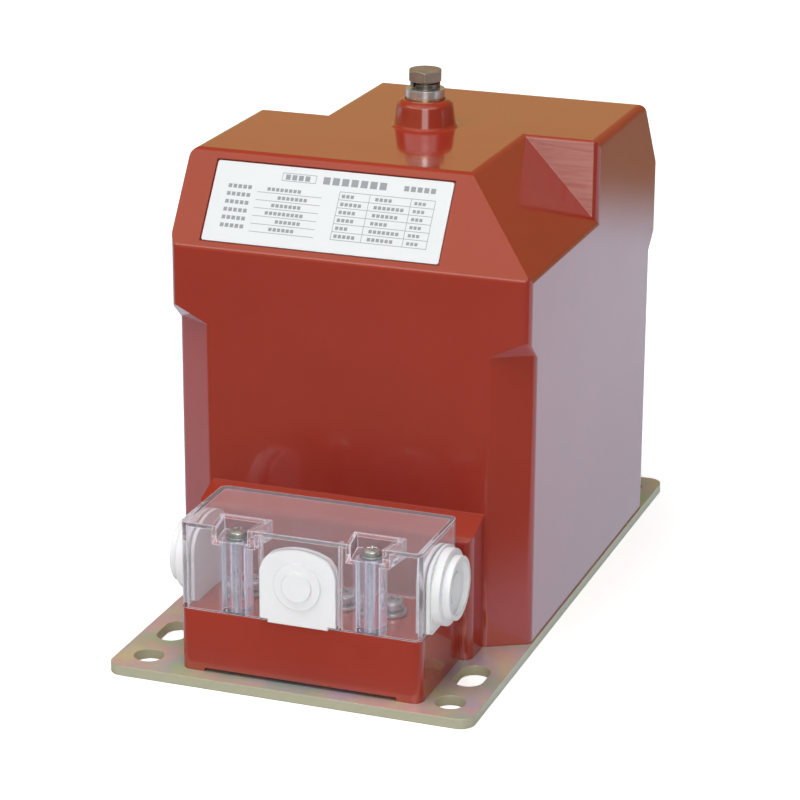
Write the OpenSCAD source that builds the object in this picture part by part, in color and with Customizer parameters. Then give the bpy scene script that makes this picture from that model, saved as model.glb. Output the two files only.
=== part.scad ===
// Cast-resin voltage transformer with one high-voltage terminal on top.
// Millimetres, +Z up. The origin is the middle of the base plate's underside;
// -Y is the terminal side, +X is on the right when the terminals are looked at.

/* [Base plate] */
// Width of the base plate
plate_w = 150; // [140:1:165]
// Length of the base plate, front to back
plate_l = 274; // [250:1:300]
// Thickness of the base plate
plate_t = 4; // [4:0.5:6]
// Corner radius of the base plate
plate_corner_r = 6; // [3:0.5:10]
// Distance from the fixing holes' and slots' middles to the plate's sides
hole_side = 12.5; // [10:0.5:14]
// Distance from a fixing hole's middle to the nearest end of the plate
hole_inset = 13.5; // [11:0.5:16]
// Diameter of the round fixing holes
hole_d = 12; // [9:0.5:14]
// Width of the two slotted fixing holes
slot_w = 12; // [9:0.5:14]
// Length of the slotted fixing holes, front to back
slot_l = 20; // [16:1:24]
// Distance from a slot's middle to the plate's front end
slot_inset = 39; // [37:1:42]

/* [Casting] */
// How far the casting's sides lie inside the plate's
body_inset = 0.5; // [0:0.25:2]
// Distance from the plate's front end to the casting's front face
body_front = 67; // [64:1:70]
// Distance from the plate's rear end to the casting's back face
body_back = 27; // [22:1:30]
// Height of the flat top over the floor
top_z = 190; // [180:1:205]
// Height of the flat top over the shoulder, where the label plane starts
shoulder_drop = 34; // [32:0.5:40]
// Height of the shoulder over the lower edge of the lip at the corners
lip_drop = 23.5; // [18:0.5:30]
// Height over which the lip runs out into the chamfered corners
lip_taper = 8; // [5:0.5:12]
// How far the top's front and back edges lie behind the faces below
label_setback = 23.3; // [20:0.1:26]
// Distance from the middle to the upper edge of each corner pocket
pocket_x = 43; // [38:1:50]
// How far each pocket's wall lies past the middle
pocket_shift = 1.8; // [1:0.2:4]
// Radius along the upper edge of each pocket's wall
pocket_edge_r = 1.2; // [0.5:0.1:3]
// Width of the corner chamfers, seen from the front
chamfer_x = 16; // [12:0.5:16]
// Depth of the corner chamfers, seen from the side
chamfer_y = 9; // [6:0.5:12]
// Radius along the casting's long edges
edge_r = 3.5; // [2:0.5:4]

/* [Ledge and terminal deck] */
// How far the sides of the ledge lie inside the casting's
ledge_inset = 17; // [16:0.5:22]
// How far the ledge stands out in front of the body
ledge_d = 15; // [13:0.5:16]
// Height where the ledge's sloped top meets the body
ledge_back_z = 60; // [57:1:64]
// How far the ledge's top falls towards the front
ledge_drop = 5.5; // [3:0.5:8]
// Distance from the plate's left side to the terminal deck
deck_left = 28.9; // [25:0.1:30]
// Distance from the plate's right side to the terminal deck
deck_right = 22.1; // [20:0.1:26]
// Distance from the plate's front end to the deck's front face
deck_inset = 7; // [5:0.5:9]
// Height of the deck's top over the floor
deck_z = 29.3; // [28:0.1:34]
// Radius of the deck's upright corners
deck_corner_r = 4; // [2:0.5:5]
// Width of each foot under the deck's front edge
deck_foot_w = 10; // [8:1:14]
// Height of the shallow relief between the deck's feet
deck_relief = 1.5; // [1:0.25:2]

/* [High-voltage terminal] */
// Diameter of the boss where it leaves the flat top
boss_d = 25.5; // [24.5:0.5:30]
// Diameter of the boss at its top
boss_top_d = 22.5; // [22.5:0.5:24.5]
// Height of the boss
boss_h = 11.2; // [9:0.1:14]
// Radius where the boss grows out of the top
boss_root_r = 1.5; // [0.5:0.25:3]
// Radius round the boss's upper edge
boss_edge_r = 3; // [1:0.25:3]
// Diameter of the brass insert
hv_insert_d = 16; // [14:0.5:16]
// Length of the brass insert
hv_insert_l = 24; // [21:1:28]
// How far the insert's face stands above the boss
hv_insert_proud = 1; // [0.5:0.1:3]
// Thread diameter of the terminal bolt
hv_bolt_d = 8; // [6:1:8]
// Length of the terminal bolt under its head
hv_bolt_l = 22; // [20:1:24]
// Width across the flats of the bolt's head
hv_head_af = 13; // [12:0.5:14]
// Height of the bolt's head
hv_head_h = 4.6; // [4:0.1:6]
// Turn of the bolt's head about its axis
hv_head_turn = 48; // [0:1:59]
// Diameter of the plain washers
hv_washer_d = 16; // [14:0.5:20]
// Thickness of each of the two plain washers
hv_washer_t = 1.6; // [1.2:0.1:2]
// Diameter of the spring washer
hv_spring_d = 12.2; // [11.5:0.1:14.8]
// Height of the spring washer
hv_spring_t = 3.2; // [1.6:0.1:3.6]

/* [Nameplate] */
// Width of the nameplate
label_w = 98.5; // [90:0.5:100]
// Height of the nameplate along its slope
label_h = 33.5; // [28:0.5:34]
// Thickness of the nameplate
label_t = 0.8; // [0.5:0.1:1]
// How far the nameplate's middle lies to the left of the middle plane
label_x = 12.6; // [12:0.2:15]
// Distance from the shoulder up the slope to the nameplate
label_rise = 3.4; // [3:0.1:4.5]
// Depth of the recess that the nameplate lies in
label_recess = 1.2; // [1:0.1:1.6]
// Gap round the nameplate in its recess
label_gap = 0.5; // [0.3:0.1:1]

/* [Secondary terminals] */
// Number of secondary terminals
term_count = 4; // [2:1:4]
// Spacing of the secondary terminals
term_pitch = 19.5; // [18:0.5:20]
// Distance from the deck's front face to the terminals
term_y = 24; // [22:0.5:26]
// Thread diameter of the terminal screws
term_screw_d = 5; // [4:0.5:5]
// Length of the terminal screws under their heads
term_screw_l = 12; // [10:1:14]
// Diameter of the terminal screws' heads
term_head_d = 9.5; // [8:0.5:10]
// Height of the terminal screws' heads
term_head_h = 3.2; // [2.4:0.2:3.8]
// Diameter of the terminal washers
term_washer_d = 12; // [11:0.5:13]
// Thickness of the terminal washers
term_washer_t = 1.2; // [1:0.1:1.6]
// Diameter of the terminals' spring washers
term_spring_d = 9.2; // [8.5:0.1:10]
// Thickness of the terminals' spring washers
term_spring_t = 1.2; // [1:0.1:1.4]
// Diameter of the terminals' brass inserts
term_insert_d = 10; // [8.5:0.5:11]
// How far the leads under the deck rise to those inserts
term_lead_l = 2.7; // [1.5:0.1:4]
// How far the inserts' faces stand above the deck
term_insert_proud = 0.6; // [0.4:0.1:1]

/* [Terminal cover] */
// How far the cover's front and sides lie inside the deck's
cover_inset = 0.5; // [0.25:0.25:1.5]
// Height of the clear cover
cover_h = 35.6; // [35:0.2:40]
// Gap between the cover's back and the ledge
cover_gap = 2.5; // [1:0.25:4]
// Wall thickness of the clear cover
cover_t = 2; // [1.8:0.1:2.4]
// Radius of the cover's upright corners
cover_corner_r = 3; // [2.5:0.5:5]
// Half the distance between the two cover screws
cover_screw_x = 27.4; // [25:0.2:30]
// Distance from the cover's front face to its screws
cover_screw_y = 6; // [6:0.2:7]
// Outside diameter of the columns round the cover screws
column_d = 12; // [11:0.5:12]
// Thickness of the guide ribs beside the front grommet
guide_t = 1; // [0.8:0.1:1.5]
// How far the guide ribs stand out inside the front wall
guide_d = 2; // [1.5:0.25:3]
// Depth of the pockets over the screws
screw_pocket_h = 6; // [5.5:0.25:8]
// Width of a screw pocket at its back
screw_pocket_w = 17; // [15:0.5:18]
// Width of a screw pocket at the cover's front
screw_pocket_front_w = 12.5; // [11.5:0.5:14]
// Size of a screw pocket front to back
screw_pocket_d = 13; // [12:0.5:15]
// Thread diameter of the cover screws
cover_screw_d = 4; // [3:0.5:4]
// Diameter of the cover screws' heads
cover_head_d = 7; // [6:0.5:8]
// Height of the cover screws' heads
cover_head_h = 2.8; // [2:0.2:3]
// Diameter of the washers under the cover screws' heads
cover_washer_d = 9; // [8:0.5:9.5]
// Thickness of those washers
cover_washer_t = 1; // [0.6:0.1:1.2]
// Depth to which a cover screw reaches into the deck
cover_screw_grip = 10; // [8:1:12]
// Diameter of the cover screws' brass inserts
cover_insert_d = 8; // [7.5:0.5:9]
// Length of the cover screws' brass inserts
cover_insert_l = 14; // [13:1:16]

/* [Cable grommets] */
// Width of a grommet's arched flanges
grommet_w = 31; // [28:0.5:33]
// Distance from the cover's top down to a grommet's top
grommet_drop = 5; // [3.5:0.25:7]
// Height of the flanges' lower edge over the deck
grommet_foot = 1.4; // [0.5:0.1:3]
// Radius of a flange's upper corners
grommet_corner_r = 11; // [6:0.5:12]
// Radius of a flange's bulged top edge
grommet_crown_r = 26; // [20:1:32]
// How far the flanges lap over the cover's wall on each side
grommet_lap = 3; // [2:0.5:4]
// Thickness of each of a grommet's two flanges
grommet_flange_t = 1.5; // [1:0.1:2]
// Diameter of the step at the foot of a side grommet's collar
step_d = 30; // [27:0.5:30]
// How far that step stands out from the cover's wall
step_l = 5.2; // [3:0.2:6]
// Diameter of the collar on the side grommets
collar_d = 25; // [22:0.5:26.5]
// How far the collar stands out from the cover's wall
collar_l = 8.4; // [7:0.2:10]
// Height of the collars' middles over the deck
collar_h = 15.3; // [15.2:0.1:16]
// Depth of the hollow in a collar's end
collar_hollow = 2.2; // [1:0.1:3]
// Wall thickness of the collar
collar_t = 2; // [1.5:0.25:3]
// Diameter of the wide ring on the front grommet
ring_d = 19; // [16:0.5:21]
// Diameter of the narrow ring on each grommet
ring_in_d = 12; // [10:0.5:14]
// Height of the front rings' middle over the deck
ring_h = 16.3; // [14:0.1:18]
// Height of each ring's step
ring_step = 0.8; // [0.5:0.1:1.2]

/* [Base fastening] */
// Distance from the casting's sides to the screws that hold the plate
base_screw_side = 29.5; // [27:0.5:33]
// Distance from the casting's front and back to those screws
base_screw_end = 30; // [28:1:36]
// Thread diameter of those screws
base_screw_d = 6; // [5:0.5:6]
// Diameter of their countersunk heads
base_head_d = 11.3; // [10:0.1:12]
// Height of their countersunk heads
base_head_h = 3.3; // [3:0.1:3.6]
// Length of those screws, head included
base_screw_l = 14; // [12:1:16]
// Diameter of their brass inserts
base_insert_d = 10; // [9.5:0.5:12]
// Length of their brass inserts
base_insert_l = 16; // [15:1:18]

/* [Core and windings] */
// Width of the core's strip, across the transformer
core_w = 32; // [28:1:34]
// Thickness of the core's limbs
core_limb = 32; // [28:1:34]
// Resin in front of the core and behind it
core_end = 12; // [11:0.5:16]
// Height of the core's window
window_h = 42; // [39:1:48]
// Radius of the core's outer corners
core_corner_r = 10; // [6:1:14]
// Radius of the window's corners
window_corner_r = 3; // [2:0.5:5]
// Height of the core's underside over the floor
core_z = 18; // [17:1:20]
// Width of the steel band round the core
band_w = 16; // [12:1:18]
// Thickness of the steel band
band_t = 0.8; // [0.5:0.1:1]
// Gap between the core's corners and the coil former
former_gap = 1.9; // [1:0.1:2.5]
// Wall thickness of the coil former
former_t = 1.5; // [1:0.25:2]
// Gap between the coil former and each end of the core's window
former_play = 4; // [3:0.5:8]
// Thickness of the former's end flanges
former_flange_t = 2; // [1.5:0.25:3]
// Thickness of the secondary winding
secondary_t = 4.5; // [3:0.5:5]
// Thickness of the barrier between the windings
barrier_t = 2; // [1.5:0.25:2.5]
// Thickness of the primary winding at its middle
primary_t = 15; // [13:0.5:16]
// Steps in which the primary winding gets shorter outwards
primary_steps = 5; // [3:1:6]
// How much shorter each step is at either end
primary_step_l = 4; // [2:0.5:5]
// Diameter of the high-voltage lead
hv_lead_d = 3; // [2:0.5:4]
// Diameter of the leads to the terminals
lead_d = 2.5; // [2:0.5:3]
// How far in front of the core the leads run down
lead_front = 6; // [5:0.5:7]
// Gap between the core's sides and the secondary leads
lead_clear = 4; // [2:0.5:5]

/* [Clearances] */
// Gap between the resin and each piece cast into it
cast_gap = 0.25; // [0.2:0.05:0.4]
// Gap between windings, former and barrier
coil_gap = 0.3; // [0.2:0.05:0.4]
// Gap between a screw and the hole that it goes through
screw_gap = 0.4; // [0.2:0.05:0.6]
// Gap between a screw and the thread that holds it
thread_gap = 0.2; // [0.1:0.05:0.3]
// How far a threaded hole runs on past its screw's end
thread_past = 1; // [0.5:0.25:1.5]
// Gap between a grommet and the cover's wall
grommet_gap = 0.2; // [0.1:0.05:0.3]

/* [Hidden] */
$fn = 64;

// Fixing holes
hole_pitch_x = plate_w - 2 * hole_side;

// Casting
body_w = plate_w - 2 * body_inset;
body_d = plate_l - body_front - body_back;
body_shift = (body_front - body_back) / 2;
shoulder_z = top_z - shoulder_drop;
lip_z = shoulder_z - lip_drop;
half_w = body_w / 2;
front_y = body_shift - body_d / 2;
back_y = body_shift + body_d / 2;
base_screw_x = body_w - 2 * base_screw_side;
base_screw_y = body_d - 2 * base_screw_end;

// Ledge and deck
ledge_w = body_w - 2 * ledge_inset;
ledge_y = front_y - ledge_d;
ledge_front_z = ledge_back_z - ledge_drop;
deck_w = plate_w - deck_left - deck_right;
deck_x = (deck_left - deck_right) / 2;
deck_y = -plate_l / 2 + deck_inset;

// Overlap of forms that are joined, and of a cut beyond the face that it opens
sink = 5;
eps = 1;

// Label plane
label_tilt = atan2(shoulder_drop, label_setback);

// High-voltage terminal, from the boss upwards
boss_z = top_z + boss_h;
hv_seat_z = boss_z + hv_insert_proud;
hv_spring_z = hv_seat_z + 2 * hv_washer_t;
hv_head_z = hv_spring_z + hv_spring_t;
hv_thread_depth = hv_bolt_l - (hv_head_z - hv_seat_z) + thread_past;

// Secondary terminals
term_row_y = deck_y + term_y;
term_seat_z = deck_z + term_insert_proud;
term_spring_z = term_seat_z + term_washer_t;
term_head_z = term_spring_z + term_spring_t;
term_thread_depth = term_screw_l - (term_head_z - term_seat_z) + thread_past;
term_xs = [for (i = [0:term_count - 1]) deck_x + (i - (term_count - 1) / 2) * term_pitch];

// Terminal cover
cover_w = deck_w - 2 * cover_inset;
cover_y = deck_y + cover_inset;
cover_d = ledge_y - cover_gap - cover_y;
cover_top_z = deck_z + cover_h;
screw_floor_z = cover_top_z - screw_pocket_h;
cover_row_y = cover_y + cover_screw_y;
cover_head_z = screw_floor_z + cover_washer_t;
cover_screw_l = cover_head_z - deck_z + cover_screw_grip;
side_grommet_y = cover_y + cover_d / 2;

// Grommets
grommet_h = cover_h - grommet_drop;
grommet_face = grommet_gap + grommet_flange_t;

// Core and coil
core_h = window_h + 2 * core_limb;
core_l = body_d - 2 * core_end;
window_l = core_l - 2 * core_limb;
axis_z = core_z + core_h - core_limb / 2;
former_d = norm([core_w, core_limb]) + 2 * former_gap;
former_l = window_l - 2 * former_play;
former_r = former_d / 2 + former_t;
secondary_r = former_r + coil_gap + secondary_t;
barrier_r = secondary_r + coil_gap + barrier_t;
primary_r = barrier_r + coil_gap + primary_t;
winding_l = former_l - 2 * former_flange_t;
lead_y = body_shift - core_l / 2 - lead_front;

// Direction of length one along v
function unit(v) = v / norm(v);

// Neighbours of corner i of the outline p
function before(p, i) = p[(i + len(p) - 1) % len(p)];
function after(p, i) = p[(i + 1) % len(p)];

// Half the inside angle at corner i of the outline p
function half_angle(p, i) =
    acos(unit(before(p, i) - p[i]) * unit(after(p, i) - p[i])) / 2;

// Middle of the arc of radius r that rounds corner i
function arc_middle(p, i, r) =
    p[i] + unit(unit(before(p, i) - p[i]) + unit(after(p, i) - p[i])) * r / sin(half_angle(p, i));

// Point where the arc at corner i leaves the side towards the point q
function arc_end(p, i, q, r) = p[i] + unit(q - p[i]) * r / tan(half_angle(p, i));

// Convex outline p with corner i rounded to radius r[i]; 0 leaves it sharp
module rounded(p, r) {
    polygon([for (i = [0:len(p) - 1])
        for (q = r[i] > 0 ? [before(p, i), after(p, i)] : [p[i]])
            r[i] > 0 ? arc_end(p, i, q, r[i]) : p[i]]);
    for (i = [0:len(p) - 1])
        if (r[i] > 0)
            translate(arc_middle(p, i, r[i])) circle(r[i]);
}

// Rectangle from a to b with its four corners rounded to the radii r
module rounded_box(a, b, r) {
    rounded([a, [b[0], a[1]], b, [a[0], b[1]]], r);
}

// Child drawn as (y, z), carried along X from x0 to x1
module along_x(x0, x1) {
    translate([x0, 0, 0]) rotate([90, 0, 90]) linear_extrude(x1 - x0) children();
}

// Child drawn as (x, z), carried along Y from y0 to y1
module along_y(y0, y1) {
    translate([0, y1, 0]) rotate([90, 0, 0]) linear_extrude(y1 - y0) children();
}

// Child drawn as (x, y), carried up from z0 to z1
module along_z(z0, z1) {
    translate([0, 0, z0]) linear_extrude(z1 - z0) children();
}

// Ring of outer radius r1 and inner radius r0, carried up by h
module ring(r1, r0, h) {
    difference() {
        cylinder(r = r1, h = h);
        translate([0, 0, -eps]) cylinder(r = r0, h = h + 2 * eps);
    }
}

// Half turn about the casting's upright middle line
module half_turn() {
    translate([0, body_shift, 0]) rotate(180) translate([0, -body_shift, 0]) children();
}

// The four corners of the rectangle x by y about the casting's middle
module at_corners(x, y) {
    for (sx = [-1, 1])
        for (sy = [-1, 1])
            translate([sx * x / 2, body_shift + sy * y / 2, 0]) children();
}

// Both cover screws
module at_cover_screws() {
    for (s = [-1, 1])
        translate([deck_x + s * cover_screw_x, cover_row_y, 0]) children();
}

// All secondary terminals
module at_terminals() {
    for (x = term_xs)
        translate([x, term_row_y, 0]) children();
}

// The nameplate's lower left corner, X along the plate and Y up the slope
module on_label() {
    translate([-label_x - label_w / 2, front_y, shoulder_z]) rotate([label_tilt, 0, 0])
        translate([0, label_rise, 0]) children();
}

// Wire of diameter d through the points p, with a thicker ball at each bend
bead = 1.15;
module wire(p, d) {
    for (i = [0:len(p) - 2]) {
        v = p[i + 1] - p[i];
        translate(p[i]) rotate([0, acos(v[2] / norm(v)), atan2(v[1], v[0])])
            cylinder(d = d, h = norm(v));
    }
    for (i = [1:len(p) - 2])
        translate(p[i]) sphere(d = d * bead);
}

// Cast-in insert, mouth at z = 0 and body below, with two grooves that lock it.
// The gap g grows it all round for the cavity in the resin. The grooves start and end
// at these shares of its length.
groove_starts = [0.3, 0.7];
groove_ends = [0.45, 0.85];
groove_depth = 1;
module insert_form(d, l, g) {
    r = d / 2 + g;
    a = l * groove_starts;
    b = l * groove_ends;
    rotate_extrude()
        polygon([[0, g], [r, g], [r, -a[0] - g], [r - groove_depth, -a[0] - g],
            [r - groove_depth, -b[0] + g], [r, -b[0] + g],
            [r, -a[1] - g], [r - groove_depth, -a[1] - g],
            [r - groove_depth, -b[1] + g], [r, -b[1] + g], [r, -l - g], [0, -l - g]]);
}

// Threaded insert with a blind hole of diameter hole, depth deep
module insert(d, l, hole, depth) {
    difference() {
        insert_form(d, l, 0);
        translate([0, 0, -depth]) cylinder(d = hole, h = depth + eps);
    }
}

// Split spring washer
module spring_washer(d, hole, t) {
    slit = 1;
    difference() {
        ring(d / 2, hole / 2, t);
        rotate([0, 0, 35]) translate([0, -slit / 2, -eps]) cube([d, slit, t + 2 * eps]);
    }
}

// Screw with a pan head on z = 0, its shank below and a cross recess on top
module pan_screw(d, l, head_d, head_h) {
    dome = head_h * 0.45;
    slot = d * 0.22;
    difference() {
        union() {
            translate([0, 0, -l]) cylinder(d = d, h = l + head_h / 2);
            rotate_extrude()
                rounded([[0, 0], [head_d / 2, 0], [head_d / 2, head_h], [0, head_h]],
                    [0, 0, dome, 0]);
        }
        for (a = [0, 90])
            rotate(a + 20) translate([-head_d * 0.28, -slot / 2, head_h * 0.45])
                cube([head_d * 0.56, slot, head_h]);
    }
}

// Plan of the plain casting and of its chamfered lower part
module plan_full() {
    rounded_box([-half_w, front_y], [half_w, back_y], [edge_r, edge_r, edge_r, edge_r]);
}
module plan_chamfered() {
    x = half_w - chamfer_x;
    rounded([[-x, front_y], [x, front_y], [half_w, front_y + chamfer_y],
        [half_w, back_y - chamfer_y], [x, back_y], [-x, back_y],
        [-half_w, back_y - chamfer_y], [-half_w, front_y + chamfer_y]],
        [for (i = [0:7]) edge_r]);
}

// Block with the label plane at the front, its twin at the back and a slope at each side
module casting_block() {
    intersection() {
        along_z(plate_t, top_z) plan_full();
        along_x(-half_w - eps, half_w + eps)
            rounded([[front_y, plate_t], [back_y, plate_t], [back_y, shoulder_z],
                [back_y - label_setback, top_z], [front_y + label_setback, top_z],
                [front_y, shoulder_z]], [0, 0, edge_r, edge_r, edge_r, edge_r]);
        along_y(front_y - eps, back_y + eps)
            rounded([[-half_w, plate_t], [half_w, plate_t], [half_w, shoulder_z],
                [pocket_x, top_z], [-pocket_x, top_z], [-half_w, shoulder_z]],
                [0, 0, edge_r, edge_r, edge_r, edge_r]);
    }
}

// Raised front left corner; its wall at the back is the side of the rear left pocket
module raised_corner() {
    wall_y = body_shift + pocket_shift;
    foot_z = shoulder_z - 2 * sink;
    intersection() {
        along_z(foot_z, top_z)
            rounded_box([-half_w, front_y], [0, wall_y], [edge_r, 0, 0, edge_r]);
        along_x(-half_w - eps, eps)
            rounded([[front_y, foot_z], [wall_y, foot_z], [wall_y, top_z],
                [front_y + label_setback, top_z], [front_y, shoulder_z]],
                [0, 0, pocket_edge_r, edge_r, edge_r]);
        along_y(front_y - eps, wall_y + eps)
            rounded([[-half_w, foot_z], [0, foot_z], [0, top_z], [-half_w, top_z]],
                [0, 0, 0, edge_r]);
    }
}

// What is taken off the front right corner below the lip
module corner_cut() {
    run = chamfer_x * chamfer_y / norm([chamfer_x, chamfer_y]);
    reach = chamfer_x + chamfer_y;
    intersection() {
        along_z(plate_t - eps, lip_z) difference() {
            translate([half_w - reach, front_y - eps]) square([reach + eps, reach]);
            plan_chamfered();
        }
        translate([half_w - chamfer_x / 2, front_y + chamfer_y / 2, lip_z - lip_taper])
            rotate([0, -atan2(lip_taper, run), atan2(-chamfer_x, chamfer_y)])
                translate([-2 * lip_z, -reach, -2 * lip_z])
                    cube([2 * lip_z + reach, 2 * reach, 2 * lip_z]);
    }
}

// Boss under the high-voltage terminal, a tapered stub with a rounded root and edge
module boss() {
    taper_h = boss_h + sink;
    grow = (boss_d - boss_top_d) / 2 * sink / boss_h;
    translate([0, body_shift, 0]) rotate_extrude() {
        rounded([[0, top_z - sink], [boss_d / 2 + grow, top_z - sink],
            [boss_top_d / 2, boss_z], [0, boss_z]], [0, 0, boss_edge_r, 0]);
        difference() {
            polygon([[0, top_z - eps], [boss_d / 2 + boss_root_r, top_z - eps],
                [boss_d / 2 + boss_root_r, top_z], [boss_d / 2 - boss_root_r / 2, top_z + boss_root_r],
                [0, top_z + boss_root_r]]);
            translate([boss_d / 2 + boss_root_r, top_z + boss_root_r]) circle(boss_root_r);
        }
    }
}

// Ledge in front of the body, with a sloped top
module ledge() {
    intersection() {
        along_x(-ledge_w / 2, ledge_w / 2)
            rounded([[ledge_y, plate_t], [front_y + sink, plate_t],
                [front_y + sink, ledge_back_z], [front_y, ledge_back_z],
                [ledge_y, ledge_front_z]], [0, 0, 0, 0, edge_r]);
        along_z(plate_t, ledge_back_z)
            rounded_box([-ledge_w / 2, ledge_y], [ledge_w / 2, front_y + sink],
                [edge_r, edge_r, 0, 0]);
    }
}

// Deck that carries the secondary terminals, on two feet at its front
module deck() {
    difference() {
        along_z(plate_t, deck_z)
            rounded_box([deck_x - deck_w / 2, deck_y], [deck_x + deck_w / 2, ledge_y + sink],
                [deck_corner_r, deck_corner_r, 0, 0]);
        along_z(plate_t - eps, plate_t + deck_relief)
            translate([deck_x - deck_w / 2 + deck_foot_w, deck_y - eps])
                square([deck_w - 2 * deck_foot_w, term_y]);
    }
}

// Core outline in (y, z), grown by g: outer edge and window
module core_outline(g) {
    a = [body_shift - core_l / 2 - g, core_z - g];
    b = [body_shift + core_l / 2 + g, core_z + core_h + g];
    r = core_corner_r + g;
    rounded_box(a, b, [r, r, r, r]);
}
module window_outline(g) {
    a = [body_shift - window_l / 2 + g, core_z + core_limb + g];
    b = [body_shift + window_l / 2 - g, core_z + core_limb + window_h - g];
    r = window_corner_r - g;
    rounded_box(a, b, [r, r, r, r]);
}

// Closed core of strip steel, grown by g
module core_form(g) {
    along_x(-core_w / 2 - g, core_w / 2 + g) difference() {
        core_outline(g);
        window_outline(g);
    }
}

// Steel band round the core, grown by g
module band_form(g) {
    along_x(-band_w / 2 - g, band_w / 2 + g) difference() {
        core_outline(band_t + g);
        core_outline(0);
    }
}

// Coil parts lie along Y, about the middle of the core's upper limb
module on_coil_axis(l) {
    translate([0, body_shift + l / 2, axis_z]) rotate([90, 0, 0]) children();
}

// Length of step i of the primary winding, i = 0 being the innermost
function primary_length(i) = winding_l - 2 * coil_gap - 2 * i * primary_step_l;

// Inner and outer radius of step i of the primary winding
function primary_step_r(i) = barrier_r + coil_gap + primary_t * i / primary_steps;

// Primary winding in steps that get shorter outwards, grown by g
module primary_form(g) {
    difference() {
        union()
            for (i = [0:primary_steps - 1])
                on_coil_axis(primary_length(i) + 2 * g)
                    cylinder(r = primary_step_r(i + 1) + g, h = primary_length(i) + 2 * g);
        on_coil_axis(former_l) cylinder(r = barrier_r + coil_gap, h = former_l);
    }
}

// Former, secondary winding, barrier and primary winding as one body, grown by g
module coil_pack(g) {
    on_coil_axis(former_l + 2 * g)
        ring(barrier_r + coil_gap + g, former_d / 2 - g, former_l + 2 * g);
    primary_form(g);
}

// Routes of the leads. They run down in front of the core, forward under the deck
// and up to the terminals' inserts, side by side: earth, two secondary, primary.
// Their height is midway between the grooves of the base inserts.
lead_turn_z = plate_t + base_insert_l * (groove_starts[1] + groove_ends[0]) / 2;
insert_foot_z = lead_turn_z + term_lead_l;
term_insert_l = term_seat_z - insert_foot_z;
lead_side = core_w / 2 + lead_d + lead_clear;
primary_lead_x = lead_side + 2 * lead_d;
last_term = len(term_xs) - 1;
function under_deck(x, k) = [[x, lead_y, lead_turn_z], [term_xs[k], term_row_y, lead_turn_z],
    [term_xs[k], term_row_y, insert_foot_z]];

// Lead from the point (x, y, z) on a winding's front end to terminal k
module winding_lead(x, y, z, k, g) {
    wire(concat([[x, y, z], [x, lead_y, z]], under_deck(x, k)), lead_d + 2 * g);
}

// Lead of the secondary winding beside the core, through the former's front flange
secondary_mid_r = secondary_r - secondary_t / 2;
secondary_end_y = body_shift - winding_l / 2 + coil_gap;
module secondary_lead(s, g) {
    z = axis_z + sqrt(secondary_mid_r * secondary_mid_r - lead_side * lead_side);
    winding_lead(s * lead_side, secondary_end_y, z,
        s < 0 ? min(1, last_term) : max(0, last_term - 1), g);
}

// Lead of the primary winding's inner end
primary_lead_r = barrier_r + coil_gap + primary_t / primary_steps / 2;
primary_end_y = body_shift - primary_length(0) / 2;
module primary_lead(g) {
    z = axis_z - sqrt(primary_lead_r * primary_lead_r - primary_lead_x * primary_lead_x);
    winding_lead(primary_lead_x, primary_end_y, z, last_term, g);
}

// Lead from the front left base insert to the first terminal. Grown for its cavity, it
// starts further back, inside the insert's own.
module earth_wire(g) {
    x = -base_screw_x / 2;
    y = body_shift - base_screw_y / 2 - base_insert_d / 2 + 4 * g;
    wire(concat([[x, y, lead_turn_z]], under_deck(x, 0)), lead_d + 2 * g);
}

// High-voltage lead from the primary winding's outer layer up to the insert
module hv_wire(g) {
    foot = axis_z + primary_r;
    translate([0, body_shift, foot]) cylinder(d = hv_lead_d + 2 * g,
        h = hv_seat_z - hv_insert_l - foot);
}

module base_plate() {
    color("#b8b37f") difference() {
        along_z(0, plate_t)
            rounded_box([-plate_w / 2, -plate_l / 2], [plate_w / 2, plate_l / 2],
                [for (i = [0:3]) plate_corner_r]);
        for (sx = [-1, 1]) {
            for (sy = [-1, 1])
                translate([sx * hole_pitch_x / 2, sy * (plate_l / 2 - hole_inset), -eps])
                    cylinder(d = hole_d, h = plate_t + 2 * eps);
            translate([sx * hole_pitch_x / 2, slot_inset - plate_l / 2, -eps])
                for (sy = [-1, 1]) {
                    translate([0, sy * (slot_l - slot_w) / 2, 0])
                        cylinder(d = slot_w, h = plate_t + 2 * eps);
                    translate([-slot_w / 2, min(0, sy * (slot_l - slot_w) / 2), 0])
                        cube([slot_w, (slot_l - slot_w) / 2, plate_t + 2 * eps]);
                }
        }
        at_corners(base_screw_x, base_screw_y) {
            translate([0, 0, -eps]) cylinder(d = base_screw_d + 2 * screw_gap,
                h = plate_t + 2 * eps);
            countersink(screw_gap);
        }
    }
}

// Countersunk head, grown by g; a screw's own head lies just inside the plate's underside
head_sink = 0.2;
module countersink(g) {
    face = g > 0 ? 0 : head_sink;
    translate([0, 0, face])
        cylinder(r1 = base_head_d / 2 + g, r2 = base_screw_d / 2 + g, h = base_head_h);
    if (g > 0)
        translate([0, 0, -eps]) cylinder(r = base_head_d / 2 + g, h = eps);
}

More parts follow.
